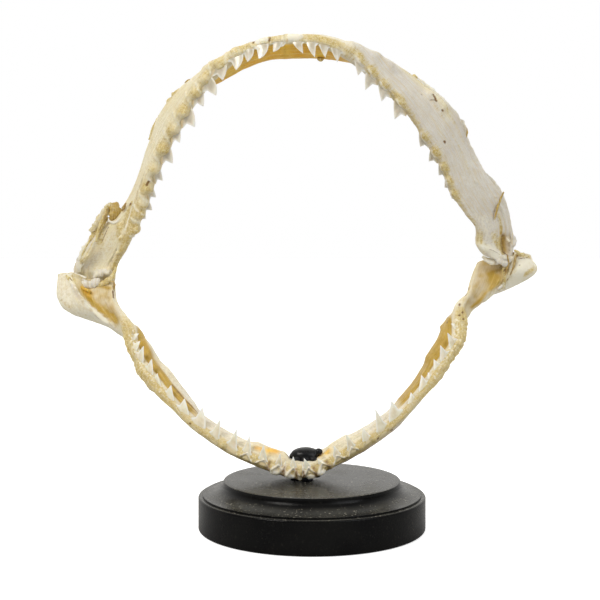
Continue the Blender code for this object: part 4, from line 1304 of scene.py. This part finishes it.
BASE_RADIUS = 60.0
BASE_HEIGHT = 25.4
TOP_RADIUS = 46.7
TOP_ROUND = 0.5
LIP_DROP = 1.2
COVE_RADIUS = 57.6  # where the hollow moulding ends
COVE_Z = 18.5
COVE_STEPS = 24
GROOVE = 0.9
GROOVE_STEP = 0.1  # how far the groove's wall stands out from the moulding
EDGE_ROUND = 1.0
FLAT_RINGS = (20.0, 40.0)  # extra rings across the flat top and underside
BASE_STEPS = 192


def black_paint_material():
    """Satin black paint with dust on it and a faint brush texture."""
    made, tree, shader = blank_material("black_satin_paint")
    place = add(tree, "ShaderNodeTexCoord").outputs["Object"]
    fine = grain(tree, place, 1500.0, 2.0)
    cloud = grain(tree, place, 60.0, 4.0)
    dust = grain(tree, place, 700.0, 2.0)
    paint = mixed(tree, ramped(tree, cloud, 0.3, 0.7), rgb(5, 5, 6), rgb(11, 11, 11))
    facing = add(tree, "ShaderNodeNewGeometry").outputs["Normal"]
    upward = add(tree, "ShaderNodeSeparateXYZ", Vector=facing)
    on_top = ramped(tree, upward.outputs["Z"], 0.7, 0.98, 0.04, 1.0)
    specks = maths(tree, "MULTIPLY", on_top, ramped(tree, dust, 0.6, 0.72, 0.0, 0.55))
    film = maths(tree, "MULTIPLY", on_top, ramped(tree, cloud, 0.3, 0.7, 0.05, 0.14))
    colour = mixed(tree, film, paint, rgb(150, 148, 136))
    colour = mixed(tree, specks, colour, rgb(150, 146, 132))
    bump = add(tree, "ShaderNodeBump", Strength=0.25, Distance=0.0003, Height=fine)
    set_inputs(
        tree, shader, Base_Color=colour, Normal=bump.outputs[0], Specular_IOR_Level=0.1,
        Roughness=ramped(tree, cloud, 0.3, 0.7, 0.2, 0.3),
    )
    return made


def arc(centre, radius, start, end, steps):
    """Points on an arc, angles in degrees from +r towards +z."""
    angles = np.radians(np.linspace(start, end, steps))
    return [(centre[0] + radius * math.cos(t), centre[1] + radius * math.sin(t)) for t in angles]


def turned_profile():
    """Half the base's outline, from the middle of its top down to the middle of its underside."""
    lip = BASE_HEIGHT - LIP_DROP
    profile = [(0.0, BASE_HEIGHT), (FLAT_RINGS[0], BASE_HEIGHT), (TOP_RADIUS - 3, BASE_HEIGHT)]
    profile += arc((TOP_RADIUS - TOP_ROUND, BASE_HEIGHT - TOP_ROUND), TOP_ROUND, 90, 0, 5)
    profile.append((TOP_RADIUS - 0.1, lip + 0.1))
    for step in range(1, COVE_STEPS + 1):
        turn = step / COVE_STEPS * math.pi / 2
        profile.append((
            TOP_RADIUS + (COVE_RADIUS - TOP_RADIUS) * (1 - math.cos(turn)),
            lip - (lip - COVE_Z) * math.sin(turn),
        ))
    floor = COVE_Z - GROOVE
    wall = COVE_RADIUS + GROOVE_STEP
    profile += [(wall, COVE_Z - 0.3), (wall, floor)]
    profile += arc((BASE_RADIUS - EDGE_ROUND, floor - EDGE_ROUND), EDGE_ROUND, 90, 0, 7)
    profile += [(BASE_RADIUS, z) for z in np.linspace(floor - EDGE_ROUND - 2, EDGE_ROUND + 2, 5)]
    profile += arc((BASE_RADIUS - EDGE_ROUND, EDGE_ROUND), EDGE_ROUND, 0, -90, 7)
    profile += [(FLAT_RINGS[1], 0.0), (0.0, 0.0)]
    return profile


def turn_on_lathe(name, profile, steps):
    mesh = bpy.data.meshes.new(name)
    mesh.from_pydata(
        [(r * MM, 0.0, z * MM) for r, z in profile], [(i, i + 1) for i in range(len(profile) - 1)], []
    )
    made = put_in_scene(name, mesh)
    spin = made.modifiers.new("turned", "SCREW")
    spin.steps = spin.render_steps = steps
    spin.use_merge_vertices = True
    spin.merge_threshold = 0.00001
    settle(made)
    turn_outwards(made.data)
    made.data.set_sharp_from_angle(angle=math.radians(40))
    return made


black_paint = black_paint_material()
base = turn_on_lathe("turned_base", turned_profile(), BASE_STEPS)
base.data.materials.append(black_paint)
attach(base, "root")
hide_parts("stand_base")

# ------------------------------------------------------------------------------- filler knob
# Black filler pressed over the head of the screw that holds the jaw to its base, with lumps at its
# sides and drips between the front teeth. Balls melted together by a voxel remesh.

# Each ball: its centre and half-lengths
KNOB_BALLS = (
    ((-3.4, 1.4, 38.4), (7.9, 5.6, 3.9)),
    ((-10.2, 0.4, 37.8), (1.8, 2.2, 1.7)),
    ((3.5, -0.6, 40.2), (2.2, 2, 1.9)),
    ((-8, -2.8, 36), (2, 2, 1.7)),
    ((-3.6, -3.4, 36), (2.2, 1.8, 2)),
    ((0.9, -3, 36.4), (2.2, 2, 1.8)),
    ((-4.7, -4.6, 34.6), (0.7, 0.9, 2)),
    ((1.4, -4, 35.2), (0.9, 1, 1.6)),
    ((-7.9, -4, 35), (0.7, 0.9, 1.5)),
)


MELT_VOXEL = 0.3


def melted(name, balls):
    """Balls run together into one smooth lump."""
    bm = bmesh.new()
    for centre, size in balls:
        place = Matrix.Translation(Vector(centre) * MM) @ Matrix.Diagonal((*[s * MM for s in size], 1))
        bmesh.ops.create_uvsphere(bm, u_segments=32, v_segments=16, radius=1.0, matrix=place)
    mesh = bpy.data.meshes.new(name)
    bm.to_mesh(mesh)
    bm.free()
    made = put_in_scene(name, mesh)
    melt = made.modifiers.new("melt", "REMESH")
    melt.mode = "VOXEL"
    melt.voxel_size = MELT_VOXEL * MM
    soften = made.modifiers.new("soften", "SMOOTH")
    soften.iterations = 6
    settle(made)
    turn_outwards(made.data)
    return made


def filler_material():
    """Glossy black filler, unevenly smooth."""
    made, tree, shader = blank_material("black_filler")
    place = add(tree, "ShaderNodeTexCoord").outputs["Object"]
    cloud = grain(tree, place, 260.0, 3.0)
    bump = add(tree, "ShaderNodeBump", Strength=0.4, Distance=0.0006, Height=cloud)
    set_inputs(
        tree, shader, Base_Color=rgb(8, 9, 12), Normal=bump.outputs[0], Specular_IOR_Level=0.3,
        Roughness=ramped(tree, cloud, 0.3, 0.7, 0.24, 0.42),
    )
    return made


black_filler = filler_material()
knob = melted("filler_knob", KNOB_BALLS)
knob.data.materials.append(black_filler)
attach(knob, "root")
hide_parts("stand_knob")

# The same filler, squeezed out between the jaw's underside and the base.
GLUE_BALLS = (
    ((-2.8, -5.8, 26.5), (3.4, 1.9, 2)),
    ((-8.6, -4.6, 26.2), (3, 1.4, 0.8)),
    ((-14.8, -2.6, 28.9), (1.9, 1.6, 1.2)),
    ((2.6, -4.4, 28.4), (2.2, 1.6, 1.3)),
)
glue = melted("filler_under_chin", GLUE_BALLS)
glue.data.materials.append(black_filler)
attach(glue, "root")

# ------------------------------------------------------------------------------- photo set
# White floor, soft light from all round, a large lamp above on the left, a weaker one on the right,
# and the camera where the photo's was: 0.63 m in front of the base, looking 3.3 degrees down.

CAMERA_PLACE = (-0.0063, -0.629, 0.1564)
CAMERA_TILT = 3.27
LENS = 72.0
SENSOR = 36.0
FLOOR_GAP = 0.0002  # keeps the floor clear of the base's underside
LAMP_TARGET = (0, 0, 0.13)

floor_mesh = bpy.data.meshes.new("floor")
floor_mesh.from_pydata([(-4, -3, 0), (4, -3, 0), (4, 6, 0), (-4, 6, 0)], [], [(0, 1, 2, 3)])
floor = put_in_scene("floor", floor_mesh)
floor.location.z = -FLOOR_GAP


def seen_and_lighting(tree, seen, lighting, output):
    """Gives the camera one shader and everything else, such as the light on the jaw, the other."""
    choice = tree.nodes.new("ShaderNodeMixShader")
    to_camera = add(tree, "ShaderNodeLightPath").outputs["Is Camera Ray"]
    for number, value in enumerate((to_camera, lighting.outputs[0], seen.outputs[0])):
        feed(tree, choice.inputs[number], value)
    set_inputs(tree, tree.nodes[output], Surface=choice.outputs[0])


white_paper, paper_tree, paper = blank_material("white_paper")
set_inputs(
    paper_tree, paper, Base_Color=(0.9, 0.9, 0.9, 1), Roughness=0.9,
    Emission_Color=(1, 1, 1, 1), Emission_Strength=0.62,
)
bounce = add(paper_tree, "ShaderNodeBsdfDiffuse", Color=(0.55, 0.55, 0.55, 1))
seen_and_lighting(paper_tree, paper, bounce, "Material Output")
floor_mesh.materials.append(white_paper)

# The room: a white backdrop behind and above, dimmer towards the camera.
world = bpy.data.worlds.new("studio")
world.use_nodes = True
sky = world.node_tree
white = sky.nodes["Background"]
set_inputs(sky, white, Color=(1, 1, 1, 1), Strength=1.0)
way = add(sky, "ShaderNodeSeparateXYZ", Vector=add(sky, "ShaderNodeTexCoord").outputs["Generated"])
behind = ramped(sky, way.outputs["Y"], -0.3, 0.95, 0.0, 1.0)
above = ramped(sky, way.outputs["Z"], 0.05, 0.9, 0.04, 0.55)
room = add(
    sky, "ShaderNodeBackground", Color=(1.0, 0.985, 0.95, 1.0),
    Strength=maths(sky, "ADD", behind, above),
)
seen_and_lighting(sky, white, room, "World Output")
bpy.context.scene.world = world


def softbox(name, place, size, power, colour):
    lamp = bpy.data.lights.new(name, "AREA")
    lamp.shape = "SQUARE"
    lamp.size = size
    lamp.energy = power
    lamp.color = colour
    made = put_in_scene(name, lamp)
    made.location = place
    aim = Vector(LAMP_TARGET) - Vector(place)
    made.rotation_euler = aim.to_track_quat("-Z", "Y").to_euler()


softbox("key", place=(-0.75, -0.75, 0.95), size=0.5, power=9.5, colour=(1.0, 0.97, 0.92))
softbox("fill", place=(0.85, -0.8, 0.6), size=0.7, power=5.2, colour=(0.95, 0.97, 1.0))

camera_data = bpy.data.cameras.new("camera")
camera_data.lens = LENS
camera_data.sensor_width = SENSOR
camera = put_in_scene("camera", camera_data)
camera.location = CAMERA_PLACE
camera.rotation_euler = (math.radians(90 - CAMERA_TILT), 0, 0)
bpy.context.scene.camera = camera
bpy.context.scene.view_settings.view_transform = "Standard"
